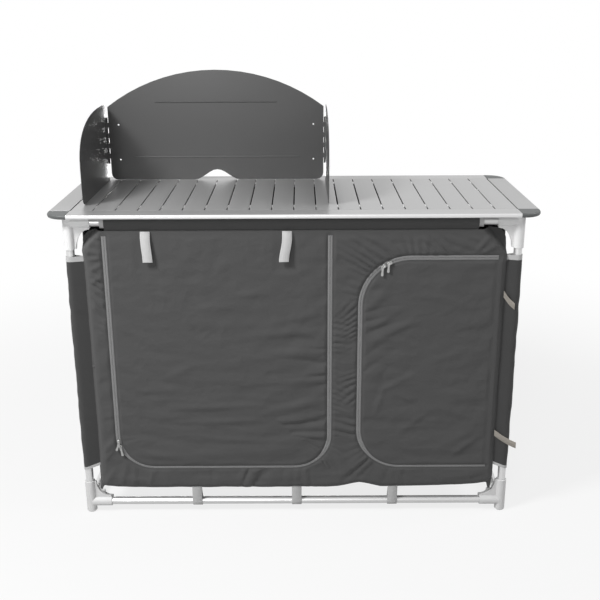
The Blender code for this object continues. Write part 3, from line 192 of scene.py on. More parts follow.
@dataclass(frozen=True)
class DrawnMetal(Finish):
    """Aluminium with the fine lines of its drawing or brushing, 0.3 mm wide on the real one.

    They are drawn 1.1 mm wide, the finest that shows at the picture's size.
    """

    grain: Grain = Grain.ALONG_Y
    contrast: float = 0.05
    relief: float = 0.00002

    def material(self) -> Material:
        """Build the material.

        Returns:
            A material with streaks in its colour, gloss and relief.
        """
        material, tree, shader, place = self.base()
        scale = tuple(1.0 / size for size in self.grain.value)
        streaks = add_node(tree, "ShaderNodeMapping",
                           {"Scale": scale, "Vector": place.outputs["Object"]})
        noise = add_node(tree, NOISE, {"Scale": 1.0, "Detail": 2.0, "Vector": streaks})
        wash = add_node(tree, NOISE,
                        {"Scale": 9.0, "Detail": 1.0, "Vector": place.outputs["Object"]})
        faint = add_node(tree, MATH, {"operation": "MULTIPLY", 0: wash, 1: 0.4})
        both = add_node(tree, MATH, {"operation": "MULTIPLY_ADD", 0: noise, 1: 0.6, 2: faint})
        gloss = add_node(tree, MATH, {"operation": "MULTIPLY_ADD", 0: noise, 1: 0.12,
                                      2: self.roughness - 0.06})
        bump = add_node(tree, BUMP, {"Strength": 0.5, "Distance": self.relief, "Height": noise})
        feed(tree, shader, {"Base Color": self.tint(tree, both, self.contrast),
                            "Roughness": gloss, "Normal": bump})
        return material


@dataclass(frozen=True)
class MouldedPlastic(Finish):
    """Moulded nylon or ABS with a spark-eroded grain."""

    grain_mm: float = 1.0
    relief: float = 0.00005

    def material(self) -> Material:
        """Build the material.

        Returns:
            A material with an even fine grain and a faint cloudiness.
        """
        material, tree, shader, place = self.base()
        noise = add_node(tree, NOISE, {"Scale": 1000.0 / self.grain_mm, "Detail": 1.0,
                                       "Vector": place.outputs["Object"]})
        cloud = add_node(tree, NOISE,
                         {"Scale": 25.0, "Detail": 2.0, "Vector": place.outputs["Object"]})
        bump = add_node(tree, BUMP, {"Strength": 0.4, "Distance": self.relief, "Height": noise})
        feed(tree, shader, {"Base Color": self.tint(tree, cloud, 0.05), "Normal": bump})
        return material


@dataclass(frozen=True)
class WovenCloth(Finish):
    """Plain-woven polyester, coated on its back.

    The threads lie 0.4 mm apart on the real one; they are drawn 1.5 mm apart, so that they show.
    """

    thread_mm: float = 1.5
    relief: float = 0.00012
    mottle: float = 0.10

    def material(self) -> Material:
        """Build the material on the piece's own UV map, which is in metres.

        Returns:
            A dull material with a weave, soft creases and uneven dye.
        """
        material, tree, shader, place = self.base()
        flat = place.outputs["UV"]
        split = add_node(tree, "ShaderNodeSeparateXYZ", {0: flat})
        turns = 2000.0 * math.pi / self.thread_mm
        warp, weft = (add_node(tree, MATH, {"operation": "SINE", 0: add_node(
            tree, MATH, {"operation": "MULTIPLY", 0: split.outputs[axis], 1: turns})})
            for axis in (0, 1))
        crossed = add_node(tree, MATH, {"operation": "MULTIPLY", 0: warp, 1: weft})
        weave = add_node(tree, MATH, {"operation": "MULTIPLY_ADD", 0: crossed, 1: 0.5, 2: 0.5})
        dye, wash, crinkle = (add_node(tree, NOISE, {"Scale": scale, "Detail": detail,
                                                     "Vector": flat})
                              for scale, detail in ((160.0, 3.0), (14.0, 2.0), (48.0, 3.0)))
        faint = add_node(tree, MATH, {"operation": "MULTIPLY", 0: wash, 1: 0.35})
        both = add_node(tree, MATH, {"operation": "MULTIPLY_ADD", 0: dye, 1: 0.45, 2: faint})
        pattern = add_node(tree, MATH, {"operation": "MULTIPLY_ADD", 0: weave, 1: 0.20, 2: both})
        fine = add_node(tree, BUMP, {"Strength": 0.5, "Distance": self.relief, "Height": weave})
        coarse = add_node(tree, BUMP, {"Strength": 0.6, "Distance": 0.0007, "Height": crinkle,
                                       "Normal": fine})
        feed(tree, shader, {"Base Color": self.tint(tree, pattern, self.mottle),
                            "Sheen Weight": 0.10, "Sheen Roughness": 0.5,
                            "Specular IOR Level": 0.25, "Normal": coarse})
        return material


@dataclass(frozen=True)
class RibbedWebbing(Finish):
    """Woven tape whose weft stands up in ribs across it."""

    rib_mm: float = 1.8
    relief: float = 0.00025

    def material(self) -> Material:
        """Build the material on the piece's UV map: U along the tape, V across, in metres.

        Returns:
            A dull material with slanting ribs, 2.4 mm apart across it, and a little soiling.
        """
        material, tree, shader, place = self.base()
        split = add_node(tree, "ShaderNodeSeparateXYZ", {0: place.outputs["UV"]})
        along, across = (
            add_node(tree, MATH, {"operation": "MULTIPLY", 0: split.outputs[axis],
                                  1: 2000.0 * math.pi / size})
            for axis, size in ((0, self.rib_mm), (1, 2.4)))
        slant = add_node(tree, MATH, {"operation": "MULTIPLY_ADD", 0: across, 1: 0.5, 2: along})
        wave = add_node(tree, MATH, {"operation": "SINE", 0: slant})
        ribs = add_node(tree, MATH, {"operation": "MULTIPLY_ADD", 0: wave, 1: 0.5, 2: 0.5})
        soil = add_node(tree, NOISE,
                        {"Scale": 120.0, "Detail": 3.0, "Vector": place.outputs["UV"]})
        faint = add_node(tree, MATH, {"operation": "MULTIPLY", 0: soil, 1: 0.5})
        both = add_node(tree, MATH, {"operation": "MULTIPLY_ADD", 0: ribs, 1: 0.5, 2: faint})
        bump = add_node(tree, BUMP, {"Strength": 0.6, "Distance": self.relief, "Height": ribs})
        feed(tree, shader, {"Base Color": self.tint(tree, both, 0.10),
                            "Specular IOR Level": 0.3, "Normal": bump})
        return material


@dataclass(frozen=True)
class CoatedSheet(Finish):
    """Sheet metal with a satin coating that shows a faint orange peel."""

    def material(self) -> Material:
        """Build the material.

        Returns:
            A satin material with a slightly uneven gloss.
        """
        material, tree, shader, place = self.base()
        peel, wash = (add_node(tree, NOISE, {"Scale": scale, "Detail": detail,
                                             "Vector": place.outputs["Object"]})
                      for scale, detail in ((420.0, 1.0), (7.0, 2.0)))
        gloss = add_node(tree, MATH, {"operation": "MULTIPLY_ADD", 0: wash, 1: 0.10,
                                      2: self.roughness - 0.05})
        bump = add_node(tree, BUMP, {"Strength": 0.25, "Distance": 0.00005, "Height": peel})
        feed(tree, shader, {"Base Color": self.tint(tree, wash, 0.06), "Roughness": gloss,
                            "Specular IOR Level": 0.26, "Normal": bump})
        return material


@dataclass(frozen=True)
class PlatedMetal(Finish):
    """Die-cast or drawn metal with a thin plating, rubbed where fingers hold it."""

    def material(self) -> Material:
        """Build the material.

        Returns:
            A bright material with small worn patches.
        """
        material, tree, shader, place = self.base()
        wear = add_node(tree, NOISE,
                        {"Scale": 700.0, "Detail": 2.0, "Vector": place.outputs["Object"]})
        gloss = add_node(tree, MATH, {"operation": "MULTIPLY_ADD", 0: wear, 1: 0.2,
                                      2: self.roughness - 0.1})
        feed(tree, shader, {"Base Color": self.tint(tree, wear, 0.12), "Roughness": gloss})
        return material


# Anodised aluminium slats, brushed along their length: an even grey with a soft sheen
SLAT = DrawnMetal("slat_anodised_aluminium_brushed", "#a9a9a9", 0.42, 0.75, Grain.ALONG_Y, 0.05)
# Extruded and anodised rails: smoother than the slats, with lines along the rail
RAIL = DrawnMetal("rail_anodised_aluminium_extruded", "#adadad", 0.38, 0.75, Grain.ALONG_X, 0.04)
# The end slats: the rails' extrusion, with lines along the slat, its colour painted a shade darker
# than the rails' as painted shade
END_SLAT_PAINTED_SHADE = DrawnMetal("end_slat_aluminium_painted_shade", "#a4a4a4", 0.42, 0.75, Grain.ALONG_Y, 0.04)
# Painted highlight: a lighter copy of the rails' aluminium on the rails' front noses, where a white
# highlight falls over their whole length, and on the cross bars and lugs under the slots
PAINTED_HIGHLIGHT_ALUMINIUM = DrawnMetal("aluminium_painted_highlight", "#cccccc", 0.30, 0.6, Grain.ALONG_X, 0.02)
# Drawn tubes with a pale satin anodising, one copy for each direction of tube; the copies differ in
# shade as painted light: the rails along X darkest, those along Y lightest, the legs between
TUBE_X = DrawnMetal("tube_x_aluminium_drawn", "#bcbcbc", 0.34, 0.7, Grain.ALONG_X, 0.03)
TUBE_Y = DrawnMetal("tube_y_aluminium_drawn", "#d0d0d0", 0.34, 0.7, Grain.ALONG_Y, 0.03)
TUBE_Z = DrawnMetal("tube_z_aluminium_drawn", "#cacaca", 0.34, 0.7, Grain.ALONG_Z, 0.03)
# Glass-filled nylon fittings, moulded: pale grey, dull, finely grained
FITTING = MouldedPlastic("fitting_nylon_moulded", "#c7c7c7", 0.48, 0.0, 0.9, 0.00004)
# The feet's fittings: the same nylon, painted a shade darker as painted shade
FOOT_PAINTED_SHADE = MouldedPlastic("foot_nylon_painted_shade", "#b6b6b6", 0.5, 0.0, 0.9, 0.00004)
# ABS corner caps, moulded: darker than the rails, slightly glossier than the fittings
CAP = MouldedPlastic("cap_abs_moulded", "#464848", 0.5, 0.0, 1.1, 0.00005)
# Polyester canvas: dark grey, dull, with a weave that catches side light
CLOTH = WovenCloth("cabinet_polyester_woven", "#3f3f3f", 0.88, 0.0)
# The same canvas round the frame's tubes, painted darker as painted shade for the recess beside the
# front's seams
SLEEVE_CLOTH_PAINTED_SHADE = WovenCloth("sleeve_polyester_painted_shade", "#343434", 0.86, 0.0, 1.5, 0.00010, 0.08)
# Floor and shelves: the same canvas over stiff board, seen only when a door is open
LINING = WovenCloth("lining_polyester_woven", "#484848", 0.90, 0.0, 1.5, 0.00010, 0.06)
# Sewing thread, a shade darker than the canvas
THREAD = WovenCloth("thread_polyester_spun", "#303030", 0.80, 0.0, 0.8, 0.00005, 0.05)
# Pale thread on the zip's tapes and on the ties
PALE_THREAD = WovenCloth("pale_thread_polyester_spun", "#a8a8a8", 0.80, 0.0, 0.8, 0.00005, 0.05)
# Zip tape: knitted polyester, mid grey, with fine ribs along it
TAPE = RibbedWebbing("zip_tape_polyester_knitted", "#6e6e6e", 0.85, 0.0, 1.4, 0.00012)
# Zip coil: nylon monofilament, wound, a little shinier than its tape
COIL = MouldedPlastic("zip_coil_nylon_wound", "#7a7a7a", 0.40, 0.0, 0.6, 0.00002)
# Polypropylene webbing in three shades
PALE_WEBBING = RibbedWebbing("tie_webbing_polypropylene_woven", "#a6a6a6", 0.80, 0.0)
GREY_WEBBING = RibbedWebbing("loop_webbing_polypropylene_woven", "#9b9b9b", 0.80, 0.0)
BEIGE_WEBBING = RibbedWebbing("side_webbing_polypropylene_woven", "#89847d", 0.80, 0.0)
# Binding tape round the sleeves' ends: pale, thin, folded over the raw edge
BINDING = RibbedWebbing("binding_polyester_woven", "#9e9e9e", 0.80, 0.0, 1.2, 0.00010)
# Windscreen: steel sheet with a dark satin coating that holds a broad soft reflection
SCREEN = CoatedSheet("screen_steel_coated", "#3c3c3c", 0.34, 0.0)
# Zinc sliders and pulls, die cast and nickel plated
SLIDER = PlatedMetal("slider_zinc_plated", "#a6a6a5", 0.30, 1.0)
# Drawn steel hinge pins
PIN = PlatedMetal("pin_steel_drawn", "#a8a8a8", 0.30, 1.0)


@functools.cache
def material_of(finish: Finish) -> Material:
    """Return the one material of a finish, building it at first use."""
    return finish.material()


# Meshes

def link(name: str, data: bpy.types.ID) -> Object:
    """Link a new object that holds a mesh, a lamp or a camera."""
    made = bpy.data.objects.new(name, data)
    bpy.context.scene.collection.objects.link(made)
    return made


def new_mesh(name: str, points: Sequence, edges: Sequence = (), faces: Sequence = ()) -> Object:
    """Link a mesh as an object at the origin.

    Args:
        name: The object's name.
        points: Its points, in the frame's metres.
        edges: Pairs of point numbers, where it has no faces.
        faces: Tuples of point numbers.

    Returns:
        The new object.
    """
    mesh = bpy.data.meshes.new(name)
    mesh.from_pydata([tuple(point) for point in points], edges, [tuple(face) for face in faces])
    return link(name, mesh)


def new_piece(name: str, points: Sequence, faces: Sequence, flat: Sequence[Point] | None = None,
              angle: float = 40.0) -> Object:
    """Link a closed mesh with its faces turned outwards.

    Args:
        name: The piece's name.
        points: Its points.
        faces: Its faces, as tuples of point numbers.
        flat: One UV pair in metres for each point, if the finish needs them.
        angle: Corners sharper than this many degrees stay sharp.

    Returns:
        The new object.
    """
    piece = new_mesh(name, points, [], faces)
    mesh = piece.data
    if flat is not None:
        layer = mesh.uv_layers.new(name="metres")
        indices = np.zeros(len(mesh.loops), np.int32)
        mesh.loops.foreach_get("vertex_index", indices)
        layer.data.foreach_set("uv", np.asarray(flat, np.float32)[indices].ravel())
    work = bmesh.new()
    work.from_mesh(mesh)
    bmesh.ops.recalc_face_normals(work, faces=work.faces)
    work.to_mesh(mesh)
    work.free()
    mesh.shade_smooth()
    mesh.set_sharp_from_angle(angle=math.radians(angle))
    return piece


def dress(piece: Object, finish: Finish, body: str, slot: str, *nodes: str) -> Object:
    """Give a piece its finish, its body and the CAD nodes that it stands for.

    Args:
        piece: The piece.
        finish: Its finish.
        body: The body that it rides on.
        slot: Not used.
        nodes: CAD nodes that it replaces.

    Returns:
        The same piece.
    """
    piece.data.materials.clear()
    piece.data.materials.append(material_of(finish))
    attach(piece, body)
    if nodes:
        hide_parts(*nodes)
    LOG.info("%s rides on %s, %d faces", piece.name, body, len(piece.data.polygons))
    return piece


def apply_modifiers(piece: Object) -> Object:
    """Turn a piece and its modifiers into a plain mesh."""
    graph = bpy.context.evaluated_depsgraph_get()
    mesh = bpy.data.meshes.new_from_object(piece.evaluated_get(graph))
    piece.modifiers.clear()
    old, piece.data = piece.data, mesh
    bpy.data.meshes.remove(old)
    return piece


def refined_copy(node: str, name: str, bevel: float, angle: float = 35.0) -> Object:
    """Copy a CAD node, merge its loose triangles and round its edges.

    Args:
        node: The CAD node.
        name: The new piece's name.
        bevel: Width of the rounding, in metres.
        angle: Edges sharper than this many degrees are rounded.

    Returns:
        The refined copy.
    """
    work = bmesh.new()
    work.from_mesh(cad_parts[node].data)
    bmesh.ops.remove_doubles(work, verts=work.verts, dist=0.00002)
    bmesh.ops.dissolve_limit(work, angle_limit=math.radians(1.0), verts=work.verts,
                             edges=work.edges)
    piece = new_mesh(name, [])
    work.to_mesh(piece.data)
    work.free()
    piece.data.shade_smooth()
    rounding = piece.modifiers.new("round", "BEVEL")
    rounding.width = bevel
    rounding.segments = 2
    rounding.limit_method = "ANGLE"
    rounding.angle_limit = math.radians(angle)
    rounding.harden_normals = True
    even = piece.modifiers.new("even", "WEIGHTED_NORMAL")
    even.keep_sharp = True
    return apply_modifiers(piece)


def arc(centre: Point, radius: float, start: float, end: float, count: int) -> list[Point]:
    """Return count + 1 points on an arc between two angles in degrees."""
    turns = [math.radians(start + (end - start) * index / count) for index in range(count + 1)]
    return [(centre[0] + radius * math.cos(a), centre[1] + radius * math.sin(a)) for a in turns]


def spaced(path: Sequence[Point], step: float) -> list[Point]:
    """Return a polyline with points at most a step apart, its corners kept."""
    points = [path[0]]
    for start, end in zip(path, path[1:]):
        count = max(1, math.ceil(math.dist(start, end) / step))
        for index in range(1, count + 1):
            share = index / count
            points.append((start[0] + (end[0] - start[0]) * share,
                           start[1] + (end[1] - start[1]) * share))
    return points


def ring_faces(start: int, rings: int, size: int) -> list[tuple[int, ...]]:
    """Return the faces between rings of points, each ring joined to the next.

    Args:
        start: Number of the first ring's first point.
        rings: How many rings there are.
        size: Points in a ring.

    Returns:
        The faces.
    """
    faces = []
    for ring in range(rings - 1):
        here, there = start + ring * size, start + (ring + 1) * size
        for index in range(size):
            after = (index + 1) % size
            faces.append((here + index, here + after, there + after, there + index))
    return faces


def round_bar(name: str, ends: tuple[Vector, Vector], radius: float, wall: float) -> Object:
    """Build a hollow round tube.

    Args:
        name: The piece's name.
        ends: The two ends of its axis.
        radius: Outer radius.
        wall: Wall thickness.

    Returns:
        The tube.
    """
    start, end = ends
    turn = (end - start).to_track_quat("Z", "Y").to_matrix()
    sides, inner = 40, radius - wall
    points = []
    for place, size in ((start, radius), (end, radius), (end, inner), (start, inner)):
        for index in range(sides):
            angle = 2 * math.pi * index / sides
            points.append(place + turn @ Vector((size * math.cos(angle),
                                                 size * math.sin(angle), 0)))
    closing = [(3 * sides + index, 3 * sides + (index + 1) % sides, (index + 1) % sides, index)
               for index in range(sides)]
    return new_piece(name, points, ring_faces(0, 4, sides) + closing)


def strip(path: Sequence[Vector], across: Sequence[Vector], width: float | Sequence[float],
          thickness: float) -> tuple[list[Vector], list[tuple], list[Point]]:
    """Build a flat strip with softened long edges along a path.

    Args:
        path: The middle line.
        across: The direction across the strip at each point.
        width: The strip's width, or its width at each point.
        thickness: Its thickness.

    Returns:
        Points, faces and UV pairs: U along the strip and V across it, in metres.
    """
    widths = np.broadcast_to(width, len(path))
    deep = thickness / 2
    points, flat = [], []
    run, count, size = 0.0, len(path), 8
    for index, place in enumerate(path):
        half = float(widths[index]) / 2
        soft = min(deep * 0.9, half * 0.3)
        section = [(-half, -deep + soft), (-half + soft, -deep), (half - soft, -deep),
                   (half, -deep + soft), (half, deep - soft), (half - soft, deep),
                   (-half + soft, deep), (-half, deep - soft)]
        before, after = path[max(index - 1, 0)], path[min(index + 1, count - 1)]
        side = across[index].normalized()
        lift = (after - before).normalized().cross(side).normalized()
        if index:
            run += (place - before).length
        for a, b in section:
            points.append(place + side * a + lift * b)
            flat.append((run, a))
    ends = [tuple(range(size)), tuple(range((count - 1) * size, count * size))]
    return points, ring_faces(0, count, size) + ends, flat


def strip_piece(name: str, strips: Sequence[tuple]) -> Object:
    """Join strips into one piece."""
    points, faces, flat = [], [], []
    for more_points, more_faces, more_flat in strips:
        start = len(points)
        points += more_points
        flat += more_flat
        faces += [tuple(index + start for index in face) for face in more_faces]
    return new_piece(name, points, faces, flat, 60.0)


# What repeats, made with Geometry Nodes

def new_tree(name: str, **kinds: str) -> tuple[bpy.types.NodeTree, dict[str, str]]:
    """Start a Geometry Nodes tree that takes and gives geometry.

    Args:
        name: The tree's name.
        kinds: The kind of each further input, such as "Float", by its name.

    Returns:
        The tree, and the identifiers of its inputs by name.
    """
    tree = bpy.data.node_groups.new(name, "GeometryNodeTree")
    sockets = tree.interface
    inputs = {key: sockets.new_socket(name=key, in_out="INPUT",
                                      socket_type="NodeSocket" + kind).identifier
              for key, kind in {"Geometry": "Geometry", **kinds, "Material": "Material"}.items()}
    sockets.new_socket(name="Geometry", in_out="OUTPUT", socket_type="NodeSocketGeometry")
    return tree, inputs


def set_on_points(tree: bpy.types.NodeTree, material: bpy.types.NodeSocket,
                  placing: dict) -> None:
    """End a tree: set bodies on points, make them real and give them their material.

    Args:
        tree: The tree.
        material: The tree's material input.
        placing: What the Instance on Points node takes.
    """
    placed = add_node(tree, "GeometryNodeInstanceOnPoints", placing)
    real = add_node(tree, "GeometryNodeRealizeInstances", {0: placed})
    made = add_node(tree, "GeometryNodeSetMaterial", {"Geometry": real, "Material": material})
    add_node(tree, "NodeGroupOutput", {0: made})


@functools.cache
def bead_tree() -> tuple[bpy.types.NodeTree, dict[str, str]]:
    """Build the tree that sets a small oval body at even steps along a path.

    Returns:
        The tree, and the identifiers of its inputs by name.
    """
    tree, inputs = new_tree("beads_along_path", Spacing="Float", Size="Vector", Normal="Vector")
    source = add_node(tree, "NodeGroupInput").outputs
    curve = add_node(tree, "GeometryNodeMeshToCurve", {0: source["Geometry"]})
    line = add_node(tree, "GeometryNodeResampleCurve",
                    {"mode": "LENGTH", "Curve": curve, "Length": source["Spacing"]})
    tangent = add_node(tree, "GeometryNodeInputTangent")
    along = add_node(tree, "FunctionNodeAlignRotationToVector", {"axis": "X", "Vector": tangent})
    upright = add_node(tree, "FunctionNodeAlignRotationToVector", {
        "axis": "Z", "pivot_axis": "X", "Rotation": along, "Vector": source["Normal"]})
    body = add_node(tree, "GeometryNodeMeshUVSphere", {"Segments": 8, "Rings": 5, "Radius": 0.5})
    rounded = add_node(tree, "GeometryNodeSetShadeSmooth", {0: body})
    set_on_points(tree, source["Material"], {"Points": line, "Instance": rounded,
                                             "Rotation": upright, "Scale": source["Size"]})
    return tree, inputs


@functools.cache
def slat_tree() -> tuple[bpy.types.NodeTree, dict[str, str]]:
    """Build the tree that sets round-edged slats side by side.

    Returns:
        The tree, and the identifiers of its inputs by name.
    """
    tree, inputs = new_tree("row_of_slats", Count="Int", Pitch="Float", Slot="Float",
                            Length="Float", Thickness="Float", Rounding="Float", Height="Float")
    source = add_node(tree, "NodeGroupInput").outputs
    width = add_node(tree, MATH, {"operation": "SUBTRACT", 0: source["Pitch"],
                                  1: source["Slot"]})
    profile = add_node(tree, "GeometryNodeCurvePrimitiveQuadrilateral", {
        "mode": "RECTANGLE", "Width": width, "Height": source["Thickness"]})
    soft = add_node(tree, "GeometryNodeFilletCurve", {
        "mode": "POLY", "Count": 3, "Curve": profile, "Radius": source["Rounding"]})
    start, end = (add_node(tree, JOIN_XYZ, {"Y": add_node(tree, MATH, {
        "operation": "MULTIPLY", 0: source["Length"], 1: share})}) for share in (-0.5, 0.5))
    path = add_node(tree, "GeometryNodeCurvePrimitiveLine", {"Start": start, "End": end})
    slat = add_node(tree, "GeometryNodeCurveToMesh",
                    {"Fill Caps": True, "Curve": path, "Profile Curve": soft})
    gaps = add_node(tree, MATH, {"operation": "SUBTRACT", 0: source["Count"], 1: 1.0})
    span = add_node(tree, MATH, {"operation": "MULTIPLY", 0: gaps, 1: source["Pitch"]})
    first = add_node(tree, MATH, {"operation": "MULTIPLY", 0: span, 1: -0.5})
    origin = add_node(tree, JOIN_XYZ, {"X": first, "Z": source["Height"]})
    step = add_node(tree, JOIN_XYZ, {"X": source["Pitch"]})
    row = add_node(tree, "GeometryNodeMeshLine", {
        "mode": "OFFSET", "Count": source["Count"], "Start Location": origin, "Offset": step})
    set_on_points(tree, source["Material"], {"Points": row, "Instance": slat})
    return tree, inputs


def grow(piece: Object, made: tuple[bpy.types.NodeTree, dict[str, str]],
         **values: object) -> Object:
    """Run a Geometry Nodes tree on a piece and keep the result as a plain mesh.

    Args:
        piece: The object that the tree starts from.
        made: The tree, and the identifiers of its inputs by name.
        values: The inputs' values by name.

    Returns:
        The same piece, with its new mesh.
    """
    modifier = piece.modifiers.new("grow", "NODES")
    modifier.node_group, inputs = made
    for name, value in values.items():
        modifier[inputs[name]] = value
    bpy.context.view_layer.update()
    return apply_modifiers(piece)


def beads(name: str, paths: Sequence[Sequence[Vector]], spacing: float,
          size: tuple[float, float, float], finish: Finish,
          normal: tuple[float, float, float] = (0, 1, 0)) -> Object:
    """Set small bodies, such as stitches or zip teeth, along paths.

    Args:
        name: The piece's name.
        paths: The lines that they follow.
        spacing: Distance from one to the next.
        size: Length along the path, width across it and height.
        finish: Their finish.
        normal: The direction of their height.

    Returns:
        The piece.
    """
    points, edges = [], []
    for path in paths:
        edges += [(len(points) + index, len(points) + index + 1)
                  for index in range(len(path) - 1)]
        points += path
    return grow(new_mesh(name, points, edges), bead_tree(), Spacing=spacing, Size=size,
                Normal=normal, Material=material_of(finish))


# Cloth

@dataclass(frozen=True)
class Plane:
    """A flat place for cloth: where it starts, and its directions along, up and out."""

    origin: tuple[float, float, float]
    along: tuple[float, float, float]
    up: tuple[float, float, float]
    out: tuple[float, float, float]

    def place(self, flat: np.ndarray, lift: np.ndarray) -> np.ndarray:
        """Return the 3-D places of flat points that stand out by some heights."""
        return (np.asarray(self.origin) + flat[:, :1] * np.asarray(self.along)
                + flat[:, 1:] * np.asarray(self.up) + lift[:, None] * np.asarray(self.out))


def inside(outline: Sequence[Point], points: np.ndarray) -> np.ndarray:
    """Tell which points lie inside a closed outline."""
    found = np.zeros(len(points), bool)
    x, y = points[:, 0], points[:, 1]
    for (x0, y0), (x1, y1) in zip(outline, [*outline[1:], outline[0]]):
        if y0 != y1:
            found ^= ((y0 > y) != (y1 > y)) & (x < (x1 - x0) * (y - y0) / (y1 - y0) + x0)
    return found


def tessellate(outline: Sequence[Point], holes: Sequence[Sequence[Point]],
               spacing: float) -> tuple[np.ndarray, list[tuple[int, ...]]]:
    """Fill an outline with even triangles.

    Args:
        outline: The outer edge.
        holes: Inner edges.
        spacing: Distance between neighbouring points.

    Returns:
        The points and the triangles.
    """
    loops = [spaced([*loop, loop[0]], spacing)[:-1] for loop in (outline, *holes)]
    rim = np.array([place for loop in loops for place in loop])
    edges, start = [], 0
    for loop in loops:
        edges += [(start + i, start + (i + 1) % len(loop)) for i in range(len(loop))]
        start += len(loop)
    low, high = rim.min(axis=0), rim.max(axis=0)
    rise = spacing * math.sqrt(3) / 2
    rows = np.arange(low[1] + rise / 2, high[1], rise)
    grid = np.array([(x, y) for index, y in enumerate(rows)
                     for x in np.arange(low[0] + spacing * (0.3 + 0.5 * (index % 2)), high[0],
                                        spacing)])
    keep = inside(outline, grid)
    for hole in holes:
        keep &= ~inside(hole, grid)
    grid = grid[keep]
    nearest = np.concatenate([
        np.linalg.norm(part[:, None] - rim[None], axis=2).min(axis=1)
        for part in np.array_split(grid, 1 + len(grid) // 500)])
    points = np.vstack([rim, grid[nearest > 0.55 * spacing]])
    made = delaunay_2d_cdt([Vector(place) for place in points], edges, [], 0, 1e-7)
    flat = np.array([tuple(place) for place in made[0]])
    faces = [tuple(face) for face in made[2]]
    centres = np.array([flat[list(face)].mean(axis=0) for face in faces])
    keep = inside(outline, centres)
    for hole in holes:
        keep &= ~inside(hole, centres)
    return flat, [face for face, kept in zip(faces, keep) if kept]


def cloth_piece(name: str, outline: Sequence[Point], plane: Plane, spacing: float,
                lift: Callable[[np.ndarray], np.ndarray] | None = None,
                holes: Sequence[Sequence[Point]] = (),
                thickness: float = SHEET_THICKNESS) -> Object:
    """Build a closed thin sheet whose outer face carries folds.

    Args:
        name: The piece's name.
        outline: The cut of the cloth.
        plane: The place where it hangs or lies.
        spacing: Distance between neighbouring points.
        lift: Gives how far the cloth stands out at flat points.
        holes: Openings in it.
        thickness: The sheet's thickness.

    Returns:
        The sheet.
    """
    flat, faces = tessellate(outline, holes, spacing)
    rise = lift(flat) if lift else np.zeros(len(flat))
    used: dict[tuple[int, int], int] = {}
    for face in faces:
        for a, b in zip(face, (*face[1:], face[0])):
            used[(a, b)] = used.get((a, b), 0) + 1
    count = len(flat)
    every = list(faces) + [tuple(index + count for index in reversed(face)) for face in faces]
    every += [(b, a, a + count, b + count) for a, b in used if (b, a) not in used]
    points = np.vstack([plane.place(flat, rise), plane.place(flat, rise - thickness)])
    return new_piece(name, points, every, np.vstack([flat, flat]), 50.0)


def loop_shell(name: str, outer: np.ndarray, inner: np.ndarray, flat: np.ndarray) -> Object:
    """Build a closed wrap of cloth from rings of outer and inner points.

    Args:
        name: The piece's name.
        outer: Outer points as rings x columns x 3.
        inner: Inner points in the same order.
        flat: UV pairs in metres as rings x columns x 2.

    Returns:
        The wrap.
    """
    rings, columns = outer.shape[:2]
    size = rings * columns
    faces = []
    for ring in range(rings - 1):
        for column in range(columns):
            a, b = ring * columns + column, ring * columns + (column + 1) % columns
            c, d = b + columns, a + columns
            faces += [(a, b, c, d), (d + size, c + size, b + size, a + size)]
    for ring in (0, rings - 1):
        for column in range(columns):
            a, b = ring * columns + column, ring * columns + (column + 1) % columns
            faces.append((a, b, b + size, a + size))
    points = np.vstack([outer.reshape(-1, 3), inner.reshape(-1, 3)])
    return new_piece(name, points, faces, np.vstack([flat.reshape(-1, 2)] * 2), 50.0)


def joined(keep: Object, other: Object) -> Object:
    """Add another piece's mesh to a piece and remove the other."""
    work = bmesh.new()
    work.from_mesh(keep.data)
    work.from_mesh(other.data)
    work.to_mesh(keep.data)
    work.free()
    bpy.data.objects.remove(other)
    return keep


def smooth_step(value: np.ndarray | float) -> np.ndarray | float:
    """Return 0 below 0, 1 above 1 and a smooth rise between."""
    share = np.clip(value, 0.0, 1.0)
    return share * share * (3 - 2 * share)


def ridges(flat: np.ndarray, folds: Sequence[tuple]) -> np.ndarray:
    """Return the height of soft creases.

    Args:
        flat: Points on the cloth.
        folds: Start, end, half width and height of each crease.

    Returns:
        The height at each point.
    """
    total = np.zeros(len(flat))
    for u0, v0, u1, v1, width, height in folds:
        run = np.array([u1 - u0, v1 - v0])
        from_start = flat - np.array([u0, v0])
        share = np.clip(from_start @ run / (run @ run), 0.0, 1.0)
        away = np.linalg.norm(from_start - share[:, None] * run, axis=1)
        taper = 0.35 + 0.65 * np.sin(np.pi * np.clip(share, 0.02, 0.98))
        total += height * taper * np.exp(-(away / width) ** 2)
    return total


def waves(flat: np.ndarray, seed: int, size: float, level: float = 1.0) -> np.ndarray:
    """Return smooth noise from about -1 to 1 made of bent sine waves in many directions.

    Args:
        flat: Points on the cloth.
        seed: Fixes the pattern.
        size: Wavelength in metres, up the cloth.
        level: How many times longer the waves are along the cloth.

    Returns:
        The noise at each point.
    """
    dice, count = np.random.default_rng(seed), 14
    total = np.zeros(len(flat))
    u, v = flat[:, 0] / level, flat[:, 1]
    for _ in range(count):
        turn, phase, bend = dice.uniform(0, math.pi), *dice.uniform(0, 2 * math.pi, 2)
        reach = 2 * math.pi / (size * dice.uniform(0.7, 1.5))
        warp = 0.9 * np.sin((u * math.sin(turn) - v * math.cos(turn)) * reach * 0.37 + bend)
        total += np.sin((u * math.cos(turn) + v * math.sin(turn)) * reach + phase + warp)
    return total / (0.5 * count)


def creases(flat: np.ndarray, seed: int, size: float, level: float = 1.0) -> np.ndarray:
    """Return noise from 0 to about 1 with sharp crests, like the creases of packed cloth."""
    return 1 - np.minimum(1, np.abs(waves(flat, seed, size, level)) * 1.6)


class Hinge(Enum):
    """The side on which a door is sewn to the front; its zip runs round the others."""

    TOP = "top"
    RIGHT = "right"


